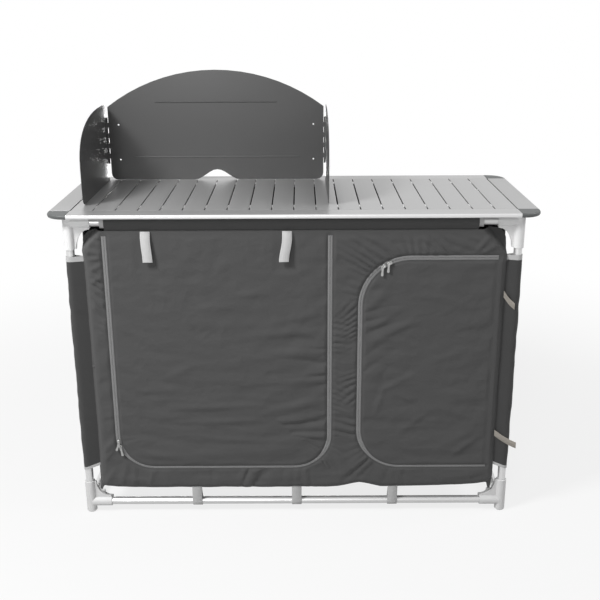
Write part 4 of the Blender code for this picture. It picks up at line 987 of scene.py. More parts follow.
@dataclass(frozen=True)
class DoorShape:
    """The outline of a door, drawn by its zip."""

    name: str
    hinge: Hinge
    left: float
    right: float
    bottom: float
    top: float
    lower_radius: float
    upper_radius: float = 0.0
    arc_points: int = 20
    step: float = 0.006
    tape_half: float = 0.0052
    tape_tucked: float = 0.0028

    def path(self) -> tuple[np.ndarray, np.ndarray]:
        """Return the zip's line from one end of the seam to the other.

        Returns:
            Its points, and at each the direction away from the door.
        """
        low, high, count = self.lower_radius, self.upper_radius, self.arc_points
        lower_left = arc((self.left + low, self.bottom + low), low, 180, 270, count)
        if self.hinge is Hinge.TOP:
            corners = [(self.left, self.top), *lower_left,
                       *arc((self.right - low, self.bottom + low), low, 270, 360, count),
                       (self.right, self.top)]
        else:
            corners = [(self.right, self.top),
                       *arc((self.left + high, self.top - high), high, 90, 180, count),
                       *lower_left, (self.right, self.bottom)]
        line = np.array(spaced(corners, self.step))
        run = np.gradient(line, axis=0)
        run /= np.linalg.norm(run, axis=1)[:, None]
        return line, np.column_stack([run[:, 1], -run[:, 0]])

    def outline(self, offset: float) -> list[Point]:
        """Return the closed outline moved outwards by an offset, the hinge side kept."""
        line, out = self.path()
        return [tuple(place) for place in line + out * offset]

    def distance(self, flat: np.ndarray) -> tuple[np.ndarray, np.ndarray]:
        """Measure from the zip's line.

        Args:
            flat: Points on the front.

        Returns:
            Their distance from the line, less than 0 inside the door, and how far along the line
            the nearest place is.
        """
        line = self.path()[0]
        step = float(np.linalg.norm(line[1] - line[0]))
        nearest = np.concatenate([
            np.linalg.norm(part[:, None] - line[None], axis=2).argmin(axis=1)
            for part in np.array_split(flat, 1 + len(flat) // 500)])
        run = np.gradient(line, axis=0)[nearest]
        run /= np.linalg.norm(run, axis=1)[:, None]
        gap = flat - line[nearest]
        past = np.clip((gap * run).sum(axis=1), -step / 2, step / 2)
        away = np.linalg.norm(gap - run * past[:, None], axis=1)
        within = inside([tuple(place) for place in line], flat)
        return np.where(within, -away, away), nearest * step + past

    def tape_widths(self) -> np.ndarray:
        """Return half the zip tape's visible width along its line: the hem side tucks under."""
        out = self.path()[1]
        return self.tape_half - self.tape_tucked * smooth_step((-out[:, 1] - 0.3) / 0.6)

    def tape_width(self, run: np.ndarray) -> np.ndarray:
        """Return half the tape's visible width at places along its line."""
        line = self.path()[0]
        step = float(np.linalg.norm(line[1] - line[0]))
        return np.interp(run, np.arange(len(line)) * step, self.tape_widths())


@dataclass(frozen=True)
class Gather:
    """Gathers that a zip's stitching draws into the cloth along one stretch of the zip.

    They start at the tape and fade with the distance from it. A slant leans them along the zip.
    """

    door: DoorShape
    side: int
    start: float
    end: float
    pitch: float
    reach: float
    depth: float
    slant: float = 0.0

    def height(self, away: np.ndarray, run: np.ndarray) -> np.ndarray:
        """Return the gathers' height at distances from the zip and along it."""
        off = np.clip(away * self.side, 0, None)
        lean = run + self.slant * off + 0.22 * off * np.sin(run * 23 + self.start * 31)
        phase = lean * math.pi / self.pitch + 1.3 * np.sin(run * 19 + self.pitch * 900)
        phase += 0.7 * np.sin(run * 53 + self.reach * 700)
        fold = np.sqrt(np.sin(phase) ** 2 + 0.015) - 0.62
        uneven = 0.62 + 0.38 * np.sin(run * 33 + self.depth * 4000 + np.sin(run * 71))
        ends = smooth_step((run - self.start) / 0.05) * smooth_step((self.end - run) / 0.05)
        fade = np.exp(-(off / (self.reach * (0.65 + 0.55 * uneven))) ** 2)
        return self.depth * fold * uneven * ends * fade * (away * self.side > 0)


LEFT_DOOR = DoorShape("door_left", Hinge.TOP, -0.451, 0.0865, 0.132, 0.745, 0.090)
RIGHT_DOOR = DoorShape("door_right", Hinge.RIGHT, 0.1605, 0.488, 0.1325, 0.689, 0.105, 0.120)
DOORS = (LEFT_DOOR, RIGHT_DOOR)
# Gathers: which side of the zip, start, end, pitch, reach, depth and slant
GATHERS = (
    Gather(LEFT_DOOR, 1, -0.05, 0.26, 0.0240, 0.045, 0.0054, 0.80),
    Gather(LEFT_DOOR, 1, 1.19, 1.69, 0.0160, 0.034, 0.0043, 0.35),
    Gather(LEFT_DOOR, 1, 0.56, 1.00, 0.0560, 0.040, 0.0019),
    Gather(LEFT_DOOR, 1, 0.96, 1.19, 0.0300, 0.060, 0.0062, 0.30),
    Gather(LEFT_DOOR, -1, 1.21, 1.68, 0.0170, 0.020, 0.0016, 0.30),
    Gather(LEFT_DOOR, -1, 1.21, 1.62, 0.0370, 0.120, 0.0049, 0.10),
    Gather(LEFT_DOOR, -1, 0.26, 0.60, 0.0500, 0.050, 0.0019),
    Gather(RIGHT_DOOR, 1, 0.00, 0.20, 0.0380, 0.070, 0.0068, -1.60),
    Gather(RIGHT_DOOR, 1, 0.15, 0.45, 0.0185, 0.065, 0.0073, -0.20),
    Gather(RIGHT_DOOR, 1, 0.40, 0.74, 0.0160, 0.034, 0.0043, -0.60),
    Gather(RIGHT_DOOR, 1, 0.72, 0.94, 0.0240, 0.060, 0.0068, 0.20),
    Gather(RIGHT_DOOR, 1, 0.90, 1.11, 0.0420, 0.040, 0.0019),
    Gather(RIGHT_DOOR, -1, 0.40, 0.72, 0.0160, 0.016, 0.0016),
    Gather(RIGHT_DOOR, -1, 0.42, 0.70, 0.0460, 0.090, 0.0030, 0.70),
)
# Where the hem's webbing loops hang, and how high up the cloth they are sewn
HEM_STRAP_X = (-0.256, 0.003, 0.252)
STRAP_TOP = 0.085
FRONT = Plane((0, -CLOTH_FACE, 0), (1, 0, 0), (0, 0, 1), (0, -1, 0))
BACK = Plane((0, CLOTH_FACE, 0), (1, 0, 0), (0, 0, 1), (0, 1, 0))
# The seams between the front and the leg sleeves, drawn in a little from the cabinet's corners
SEAM_LEFT = -0.4965
SEAM_RIGHT = 0.5025
# How far the front's cloth goes on past its seams, round the corner
RETURN = 0.0075
HEM_EDGE = [(SEAM_LEFT - RETURN, 0.098), (-0.5035, 0.084), (-0.4955, 0.0775), (-0.4820, 0.0765),
            (-0.460, 0.0745), (-0.416, 0.072), (0.080, 0.0715), (0.110, 0.073), (0.137, 0.079),
            (0.165, 0.0845), (0.193, 0.079), (0.220, 0.072), (0.300, 0.0725), (0.416, 0.0755),
            (0.470, 0.0800), (0.4925, 0.0830), (0.5035, 0.0900), (SEAM_RIGHT + RETURN, 0.104)]
RIGHT_CORNER = [(SEAM_RIGHT + RETURN, 0.690), (0.5095, 0.716), (0.5080, 0.733), (0.5036, 0.745),
                (0.4965, 0.7525), (0.488, 0.7563), (0.476, PANEL_TOP)]
LEFT_CORNER = [(-0.468, PANEL_TOP), (-0.481, 0.7560), (-0.4925, 0.7515), (-0.5010, 0.744),
               (-0.5065, 0.733), (-0.5070, 0.714), (SEAM_LEFT - RETURN, 0.690)]
# Short tabs of the same cloth reach down from the lower corners to the feet
LEFT_TAB = [(-0.5060, 0.0840), (-0.5092, 0.0660), (-0.5035, 0.0640), (-0.4980, 0.0755)]
RIGHT_TAB = [(0.4950, 0.0820), (0.4995, 0.0640), (0.5055, 0.0655), (0.5070, 0.0840)]
HEM = [HEM_EDGE[0], *LEFT_TAB, *HEM_EDGE[2:-2], *RIGHT_TAB, HEM_EDGE[-1], *RIGHT_CORNER,
       *LEFT_CORNER]
# Folds: start, end, half width and height
FOLDS = (
    (-0.131, 0.429, 0.070, 0.457, 0.013, 0.0042), (-0.099, 0.370, 0.071, 0.383, 0.012, 0.0040),
    (-0.076, 0.286, 0.077, 0.322, 0.011, 0.0050), (-0.311, 0.300, -0.084, 0.307, 0.009, 0.0040),
    (-0.296, 0.258, -0.076, 0.265, 0.008, 0.0030), (-0.047, 0.529, 0.070, 0.553, 0.011, 0.0032),
    (-0.151, 0.594, -0.060, 0.606, 0.010, 0.0020), (-0.007, 0.520, 0.068, 0.476, 0.010, 0.0026),
    (-0.400, 0.172, -0.224, 0.151, 0.010, 0.0034), (-0.113, 0.495, 0.070, 0.504, 0.010, 0.0030),
    (-0.217, 0.564, -0.087, 0.576, 0.011, 0.0018), (-0.323, 0.380, -0.247, 0.416, 0.010, 0.0022),
    (-0.430, 0.345, -0.290, 0.352, 0.010, 0.0020), (-0.260, 0.212, -0.010, 0.205, 0.009, 0.0022),
    (0.171, 0.555, 0.226, 0.612, 0.012, 0.0044), (0.181, 0.470, 0.290, 0.532, 0.011, 0.0038),
    (0.202, 0.285, 0.222, 0.350, 0.008, 0.0034), (0.222, 0.350, 0.283, 0.382, 0.008, 0.0034),
    (0.251, 0.337, 0.297, 0.317, 0.008, 0.0028), (0.189, 0.515, 0.253, 0.556, 0.009, 0.0030),
    (0.262, 0.231, 0.336, 0.286, 0.010, 0.0026), (0.330, 0.420, 0.430, 0.455, 0.011, 0.0026),
    (0.300, 0.600, 0.400, 0.575, 0.011, 0.0022), (0.360, 0.300, 0.455, 0.265, 0.010, 0.0024),
    (0.370, 0.190, 0.450, 0.235, 0.010, 0.0022), (0.105, 0.098, 0.172, 0.160, 0.009, 0.0040),
    (0.135, 0.112, 0.096, 0.190, 0.009, 0.0034), (-0.470, 0.105, -0.380, 0.092, 0.010, 0.0030),
    (-0.498, 0.166, -0.454, 0.219, 0.008, 0.0040), (-0.494, 0.150, -0.462, 0.186, 0.007, 0.0036),
    (-0.468, 0.124, -0.486, 0.092, 0.006, 0.0040), (-0.436, 0.134, -0.448, 0.090, 0.007, 0.0036),
    (-0.414, 0.126, -0.416, 0.086, 0.006, 0.0030), (-0.368, 0.118, -0.376, 0.086, 0.006, 0.0030),
    (0.440, 0.205, 0.398, 0.162, 0.009, 0.0030), (0.466, 0.218, 0.418, 0.180, 0.008, 0.0030),
    (0.440, 0.124, 0.452, 0.094, 0.007, 0.0032), (0.340, 0.116, 0.370, 0.088, 0.007, 0.0030),
    (-0.487, 0.754, -0.459, 0.739, 0.004, 0.0050), (-0.498, 0.713, -0.460, 0.701, 0.007, 0.0048),
    (-0.497, 0.688, -0.458, 0.692, 0.005, 0.0036), (-0.494, 0.658, -0.458, 0.676, 0.005, 0.0036),
    (-0.492, 0.626, -0.458, 0.650, 0.005, 0.0030), (0.430, 0.700, 0.466, 0.745, 0.006, 0.0034),
    (0.445, 0.698, 0.484, 0.722, 0.006, 0.0030), (-0.160, 0.104, 0.030, 0.098, 0.009, 0.0022),
    (0.380, 0.100, 0.480, 0.112, 0.010, 0.0030),
)


@dataclass
class FoldField:
    """The folds of the whole cloth front, from one simulation of it as a slack sheet.

    The sheet is held where the real one is sewn: at its seams, on the zips' tapes and at the hem's
    loops. Between them it is a little too large, most of all too long, so it buckles into folds
    that run more level than upright.
    """

    step: float = 0.0065
    slack: tuple[float, float] = (1.004, 1.018)
    rise: float = 0.0013
    frames: int = 26
    zip_sink: float = 0.0009
    # How far from a seam's and from a zip's line the cloth is sewn down
    seam_hold: float = 0.006
    zip_hold: float = 0.0085
    # Where the door's ties hang, and how far folds may stand out and go in
    tie_x: tuple[float, float] = (-0.352, -0.020)
    tie_low: float = 0.668
    outwards: float = 0.0080
    inwards: float = 0.0013
    low: tuple[float, float] = (-0.512, 0.062)
    high: tuple[float, float] = (0.512, PANEL_TOP)
    heights: np.ndarray = field(init=False)

    def __post_init__(self) -> None:
        size = [round((b - a) / self.step) + 1 for a, b in zip(self.low, self.high)]
        across, up = (np.linspace(a, b, n) for a, b, n in zip(self.low, self.high, size))
        flat = np.array([(u, v) for v in up for u in across])
        start = 0.0016 * waves(flat, 5, 0.050, 2.6) + 0.0006 * waves(flat, 8, 0.026, 2.0)
        start += 0.5 * self.puckers(flat)
        held = self.held(flat)
        start[held] = 0.0
        settled = self.settle(flat, start, held, size)
        self.heights = settled.reshape(size[1], size[0])

    def held(self, flat: np.ndarray) -> np.ndarray:
        """Tell which points of the front are sewn down."""
        u, v = flat.T
        held = (u < SEAM_LEFT + self.seam_hold) | (u > SEAM_RIGHT - self.seam_hold)
        held |= v > PANEL_TOP - self.seam_hold
        for door in DOORS:
            held |= abs(door.distance(flat)[0]) < self.zip_hold
        for x in HEM_STRAP_X:
            held |= (abs(u - x) < WEBBING_WIDTH / 2) & (v < STRAP_TOP)
        return held

    def puckers(self, flat: np.ndarray) -> np.ndarray:
        """Return the gathers that the zips' stitching draws into the cloth."""
        total = np.zeros(len(flat))
        for door in DOORS:
            away, run = door.distance(flat)
            total += sum(gather.height(away, run) for gather in GATHERS if gather.door is door)
        return total

    def settle(self, flat: np.ndarray, start: np.ndarray, held: np.ndarray,
               size: Sequence[int]) -> np.ndarray:
        """Let the slack sheet buckle.

        Args:
            flat: The points at rest.
            start: Their heights at the start.
            held: Which of them are sewn down.
            size: Number of columns and rows.

        Returns:
            The settled heights.
        """
        columns, rows = size
        faces = [(r * columns + c, r * columns + c + 1, (r + 1) * columns + c + 1,
                  (r + 1) * columns + c) for r in range(rows - 1) for c in range(columns - 1)]
        sheet = new_mesh("front_settling", FRONT.place(flat, start).tolist(), [], faces)
        sheet.vertex_groups.new(name="held").add(np.flatnonzero(held).tolist(), 1.0, "REPLACE")
        sheet.shape_key_add(name="as_sewn")
        cut = sheet.shape_key_add(name="as_cut")
        stretched = FRONT.place(flat * np.array(self.slack), start)
        cut.data.foreach_set("co", np.asarray(stretched, dtype=np.float32).ravel())
        cloth = sheet.modifiers.new("cloth", "CLOTH")
        for name, value in (("quality", 6), ("mass", 0.12), ("tension_stiffness", 12),
                            ("compression_stiffness", 12), ("shear_stiffness", 4),
                            ("bending_stiffness", 1.2), ("air_damping", 2.0),
                            ("vertex_group_mass", "held"), ("rest_shape_key", cut)):
            setattr(cloth.settings, name, value)
        cloth.settings.effector_weights.gravity = 0.05
        cloth.collision_settings.use_collision = False
        cloth.point_cache.frame_start = 1
        cloth.point_cache.frame_end = self.frames
        for number in range(1, self.frames + 1):
            bpy.context.scene.frame_set(number)
        graph = bpy.context.evaluated_depsgraph_get()
        shape = sheet.evaluated_get(graph).data
        places = np.zeros(len(flat) * 3)
        shape.vertices.foreach_get("co", places)
        bpy.data.objects.remove(sheet)
        bpy.context.scene.frame_set(1)
        heights = -places.reshape(-1, 3)[:, 1] - CLOTH_FACE
        LOG.info("front cloth settled: heights %.1f to %.1f mm", 1000 * heights.min(),
                 1000 * heights.max())
        return heights

    def sample(self, flat: np.ndarray) -> np.ndarray:
        """Return the settled height at flat points, read between the grid's points."""
        rows, columns = self.heights.shape
        place = (flat - np.array(self.low)) / (np.array(self.high) - np.array(self.low))
        u = np.clip(place[:, 0], 0, 1) * (columns - 1)
        v = np.clip(place[:, 1], 0, 1) * (rows - 1)
        c, r = np.minimum(u.astype(int), columns - 2), np.minimum(v.astype(int), rows - 2)
        a, b = u - c, v - r
        grid = self.heights
        return ((grid[r, c] * (1 - a) + grid[r, c + 1] * a) * (1 - b)
                + (grid[r + 1, c] * (1 - a) + grid[r + 1, c + 1] * a) * b)

    def lift(self, flat: np.ndarray) -> np.ndarray:
        """Return the cloth's height: folds that stay clear of the zips and of the ties."""
        rise = self.rise + self.sample(flat) + self.puckers(flat) + self.crumple(flat)
        rise += ridges(flat, FOLDS)
        limit = np.where(rise > 0, self.outwards, self.inwards)
        rise = limit * np.tanh(rise / limit)
        free, sink = np.ones(len(flat)), np.zeros(len(flat))
        for door in DOORS:
            away, run = door.distance(flat)
            beyond = abs(away) - door.tape_width(run)
            free = free * smooth_step((beyond - 0.001) / 0.007)
            sink = np.maximum(sink, self.zip_sink * (1 - smooth_step((beyond - 0.0012) / 0.003)))
        for x in self.tie_x:
            away = np.maximum(abs(flat[:, 0] - x) - 0.016, self.tie_low - flat[:, 1])
            free = free * (0.15 + 0.85 * smooth_step(away / 0.02))
        middle = (RIGHT_DOOR.bottom + RIGHT_DOOR.top) / 2
        seam = np.maximum(abs(flat[:, 0] - RIGHT_DOOR.right),
                          abs(flat[:, 1] - middle) - (RIGHT_DOOR.top - middle))
        free = free * smooth_step((seam - 0.0020) / 0.009)
        free = free * smooth_step((PANEL_TOP - 0.004 - flat[:, 1]) / 0.02)
        free = free * smooth_step((self.beside(flat) - 0.003) / 0.010)
        return rise * free - sink - self.turned_in(flat)

    def crumple(self, flat: np.ndarray) -> np.ndarray:
        """Return the small creases left by packing: level ones, and a net of fine ones."""
        patchy = 0.45 + 0.55 * np.clip(waves(flat, 77, 0.22), -1, 1)
        lower = 0.35 + 0.85 * smooth_step((0.55 - flat[:, 1]) / 0.30)
        level = 0.0009 * creases(flat, 71, 0.060, 3.0) * lower
        fine = 0.0006 * creases(flat, 72, 0.036, 1.3) + 0.0002 * waves(flat, 73, 0.016, 1.6)
        return (level + fine) * (0.4 + 0.6 * patchy)

    @staticmethod
    def beside(flat: np.ndarray) -> np.ndarray:
        """Return the distance inwards from the nearer side fold, which flares out at its ends."""
        heights = (0.075, 0.110, 0.180, 0.670, 0.705, 0.730)
        flare = np.interp(flat[:, 1], heights, (0.0040, 0.0030, 0.0, 0.0, 0.0050, 0.0060))
        right = SEAM_RIGHT + np.minimum(flare, 0.0030)
        return np.minimum(flat[:, 0] - SEAM_LEFT + flare, right - flat[:, 0])

    def turned_in(self, flat: np.ndarray) -> np.ndarray:
        """Return how far the edges turn in: the seams, the hem and the loose upper corners."""
        u, v = flat[:, 0], flat[:, 1]
        seams = 0.0092 * (1 - smooth_step((self.beside(flat) + 0.0070) / 0.0120))
        top = 0.0022 * (1 - smooth_step((PANEL_TOP - v) / 0.004))
        hem_z = np.interp(u, [p[0] for p in HEM_EDGE], [p[1] for p in HEM_EDGE])
        hem = 0.0060 * (1 - smooth_step((v - hem_z) / 0.014)) ** 2
        past = 0.755 * (abs(u) - np.where(u > 0, 0.447, 0.457)) + 0.655 * (v - PANEL_TOP)
        corner = 0.0270 * smooth_step(past / 0.0150)
        return np.maximum.reduce([seams, top, hem, corner * (v > 0.66)])


@dataclass
class Sleeve:
    """A tube of cloth round a frame tube, drawn together at its seam."""

    name: str
    centre: Point
    seam: Point
    radius: float
    thickness: float
    columns: int = 44

    def loop(self, radius: float, seam: Point) -> np.ndarray:
        """Return points round the tube and out to the seam, evenly spaced."""
        away = math.atan2(seam[1] - self.centre[1], seam[0] - self.centre[0])
        span = math.dist(seam, self.centre)
        spread = math.acos(min(1.0, radius / span))
        start, end = math.degrees(away + spread), math.degrees(away - spread) + 360
        line = np.array([seam, *arc(self.centre, radius, start, end, 60), seam])
        run = np.concatenate([[0], np.cumsum(np.linalg.norm(np.diff(line, axis=0), axis=1))])
        even = np.linspace(0, run[-1], self.columns + 1)[:-1]
        return np.column_stack([np.interp(even, run, line[:, axis]) for axis in (0, 1)])

    def build(self, low: np.ndarray, high: np.ndarray, axis: int, spacing: float,
              ripple: float, seed: int, clear: float = 0.0) -> Object:
        """Build the wrap.

        Args:
            low: Where each column starts along the axis.
            high: Where each column ends.
            axis: 0 for a tube along X, 2 for one along Z.
            spacing: Distance between rings.
            ripple: Height of its wrinkles.
            seed: Fixes their pattern.
            clear: How far it stands off the sleeve, for a binding over it.

        Returns:
            The wrap.
        """
        out = self.loop(self.radius + clear, self.drawn_out(clear))
        within = self.loop(self.radius + clear - self.thickness, self.drawn_out(clear - 0.004))
        rings = max(2, round((high - low).max() / spacing) + 1)
        share = np.linspace(0, 1, rings)[:, None]
        along = low[None] * (1 - share) + high[None] * share
        turn = np.linspace(0, 0.09, self.columns + 1)[:-1]
        flat = np.stack([along, np.broadcast_to(turn, along.shape)], axis=2)
        rise = ripple * self.wrinkles(flat.reshape(-1, 2), seed).reshape(along.shape)
        rise *= np.minimum(1, 6 * np.minimum(share, 1 - share) + 0.2)
        middle = np.asarray(self.centre)
        side = out - middle
        side /= np.linalg.norm(side, axis=1)[:, None]
        shapes = []
        for loop in (out, within):
            flatwise = loop[None] + side[None] * rise[:, :, None]
            order = [along, flatwise[:, :, 0], flatwise[:, :, 1]]
            shapes.append(np.stack(order if axis == 0 else order[1:] + order[:1], axis=2))
        return loop_shell(self.name, shapes[0], shapes[1], flat)

    def drawn_out(self, reach: float) -> Point:
        """Return the seam moved away from the tube by a reach."""
        span = math.dist(self.seam, self.centre)
        share = 1 + reach / span
        return (self.centre[0] + (self.seam[0] - self.centre[0]) * share,
                self.centre[1] + (self.seam[1] - self.centre[1]) * share)

    @staticmethod
    def wrinkles(flat: np.ndarray, seed: int) -> np.ndarray:
        """Return wrinkles that run round a sleeve, above 0."""
        bent = np.column_stack([0.35 * flat[:, 1], flat[:, 0] + 0.9 * flat[:, 1]])
        return 0.5 + 0.5 * np.clip(1.3 * waves(bent, seed, 0.044, 3), -1, 1)


# Sub-assemblies

@dataclass
class TubeFrame:
    """Eight drawn tubes, four legs and the moulded fittings that join them."""

    wall: float = 0.0012
    rounding: float = 0.0009

    def build(self) -> None:
        """Build the tubes and the fittings."""
        tubes = ("leg_front", "leg_back", "top_rail_", "bottom_rail_")
        for node in [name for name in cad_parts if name.startswith(tubes)]:
            self.tube(node)
        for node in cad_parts:
            if "_fitting_" in node:
                piece = refined_copy(node, node + "_moulding", self.rounding, 30.0)
                # The feet's fittings take the nylon painted a shade darker: painted shade
                finish = FOOT_PAINTED_SHADE if node.startswith("foot") else FITTING
                dress(piece, finish, "frame", "fitting_plastic", node)

    def tube(self, node: str) -> None:
        """Rebuild a tube as round as the real one."""
        low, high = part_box(node)
        size = high - low
        axis = max(range(3), key=lambda index: size[index])
        middle = (low + high) / 2
        ends = [middle.copy(), middle.copy()]
        ends[0][axis], ends[1][axis] = low[axis], high[axis]
        piece = round_bar(node + "_tube", (ends[0], ends[1]), TUBE_RADIUS, self.wall)
        # The tube's direction picks its grain and its painted shade
        dress(piece, (TUBE_X, TUBE_Y, TUBE_Z)[axis], "frame", "tube_aluminium", node)


@dataclass
class SlattedTop:
    """The roll-up top: twenty slats, two end slats, two rails and four corner caps."""

    count: int = 20
    pitch: float = 0.0533
    slot: float = 0.003
    thickness: float = 0.0058
    length: float = 0.3794
    slat_rounding: float = 0.0008
    # Rail faces beyond this distance from the middle that look along Y take the painted highlight
    painted_highlight_y: float = 0.236
    bar_y: float = 0.143
    bar_width: float = 0.024
    bar_low: float = 0.7898
    bar_high: float = 0.7941
    bar_half: float = 0.573

    def build(self) -> None:
        """Build the top."""
        slats = grow(new_mesh("slats", [(0, 0, 0)]), slat_tree(), Count=self.count,
                     Pitch=self.pitch, Slot=self.slot, Length=self.length,
                     Thickness=self.thickness, Rounding=self.slat_rounding,
                     Height=TABLE_TOP - self.thickness / 2, Material=material_of(SLAT))
        slats.data.shade_smooth()
        slats.data.set_sharp_from_angle(angle=math.radians(50))
        dress(slats, SLAT, "tabletop", "slat_aluminium", "table_slats")
        self.bars()
        self.lugs()
        self.rivets()
        for side in ("left", "right"):
            node = "table_end_slat_" + side
            # The end slats take the rails' aluminium painted a shade darker: painted shade
            dress(refined_copy(node, node + "_extrusion", 0.0006), END_SLAT_PAINTED_SHADE, "tabletop",
                  "rail_aluminium", node)
        for side in ("front", "back"):
            self.rail("table_rail_" + side)
            for end in ("left", "right"):
                node = f"table_cap_{side}_{end}"
                dress(refined_copy(node, node + "_moulding", 0.0007, 30.0), CAP, "tabletop",
                      "cap_plastic", node)

    def rail(self, node: str) -> None:
        """Refine a rail and paint a highlight on its nose: its front and back faces take a lighter
        copy of its aluminium.
        """
        piece = refined_copy(node, node + "_extrusion", 0.0007, 25.0)
        dress(piece, RAIL, "tabletop", "rail_aluminium", node)
        piece.data.materials.append(material_of(PAINTED_HIGHLIGHT_ALUMINIUM))
        for face in piece.data.polygons:
            if abs(face.normal.y) > 0.35 and abs(face.center.y) > self.painted_highlight_y:
                face.material_index = 1

    def bars(self) -> None:
        """Build the two cross bars under the slats, in the painted highlight's lighter aluminium,
        so that they show bright through the slots in the slats' shade.
        """
        points, faces = [], []
        for side in (-1, 1):
            start = len(points)
            for x in (-self.bar_half, self.bar_half):
                for y in (-self.bar_width / 2, self.bar_width / 2):
                    for z in (self.bar_low, self.bar_high):
                        points.append((x, side * self.bar_y + y, z))
            faces += [tuple(start + index for index in face) for face in (
                (0, 1, 3, 2), (4, 6, 7, 5), (0, 4, 5, 1), (2, 3, 7, 6), (0, 2, 6, 4), (1, 5, 7, 3))]
        piece = new_piece("cross_bars", points, faces)
        dress(piece, PAINTED_HIGHLIGHT_ALUMINIUM, "tabletop", "slat_aluminium")

    def lugs(self) -> None:
        """Build the lugs that stand up from the bars and keep the slats apart, painted bright with
        the painted highlight's aluminium.
        """
        lugs = []
        for side in (-1, 1):
            row = grow(new_mesh("bar_lugs", [(0, 0, 0)]), slat_tree(), Count=self.count - 1,
                       Pitch=self.pitch, Slot=self.pitch - self.slot + 0.0001,
                       Length=self.bar_width, Thickness=0.0046, Rounding=0.0003,
                       Height=self.bar_high + 0.0025, Material=material_of(PAINTED_HIGHLIGHT_ALUMINIUM))
            for vertex in row.data.vertices:
                vertex.co.y += side * self.bar_y
            lugs.append(row)
        dress(joined(lugs[0], lugs[1]), PAINTED_HIGHLIGHT_ALUMINIUM, "tabletop", "slat_aluminium")

    def rivets(self) -> None:
        """Set a flat rivet head under every slat on both bars."""
        half = (self.count - 1) / 2 * self.pitch
        lines = [[Vector((x, side * self.bar_y, self.bar_low)) for x in (-half, half)]
                 for side in (-1, 1)]
        piece = beads("bar_rivets", lines, self.pitch, (0.007, 0.007, 0.0016), PIN, (0, 0, 1))
        dress(piece, PIN, "tabletop", "slat_aluminium")


@dataclass
class Windscreen:
    """Three sheets of coated steel on knuckle hinges, with pressed beads and bright pins."""

    bead_height: float = 0.0013
    bead_steps: int = 8
    face_y: float = 0.1934
    beads: tuple = ((-0.378, -0.047, 1.012, 1.3, 2.0), (-0.441, 0.015, 0.862, 2.9, 0.8))

    def build(self) -> None:
        """Build the sheets, the beads and the pins."""
        back = refined_copy("windscreen_back", "screen_back_sheet", 0.0003, 30.0)
        dress(back, SCREEN, "windscreen", "screen_coating", "windscreen_back")
        self.pressed_beads()
        for side in ("left", "right"):
            node = "windscreen_wing_" + side
            dress(refined_copy(node, node + "_sheet", 0.0003, 30.0), SCREEN, "wing_" + side,
                  "screen_coating", node)
            node = "windscreen_pin_" + side
            dress(refined_copy(node, node + "_wire", 0.0002, 50.0), PIN, "windscreen",
                  "pin_steel", node)

    def pressed_beads(self) -> None:
        """Build the beads pressed into the back sheet, each with its own slope above and below."""
        points, faces = [], []
        turns = [math.pi * step / self.bead_steps for step in range(self.bead_steps + 1)]
        size = len(turns)
        for left, right, height, above, below in self.beads:
            rows = []
            stations = spaced([(left, height), (right, height)], 0.002)
            for index, (x, z) in enumerate(stations):
                edge = min(index, len(stations) - 1 - index)
                rise = self.bead_height * min(1.0, (edge + 0.4) / 1.6)
                rows.append(range(len(points), len(points) + size))
                points += [(x, self.face_y + 0.0002 - rise * math.sin(turn),
                            z + (above if turn < 1.5 else below) * rise * math.cos(turn))
                           for turn in turns]
            faces += ring_faces(rows[0][0], len(rows), size)
            faces += [tuple(rows[0]), tuple(rows[-1])]
        dress(new_piece("screen_beads", points, faces), SCREEN, "windscreen", "screen_coating")


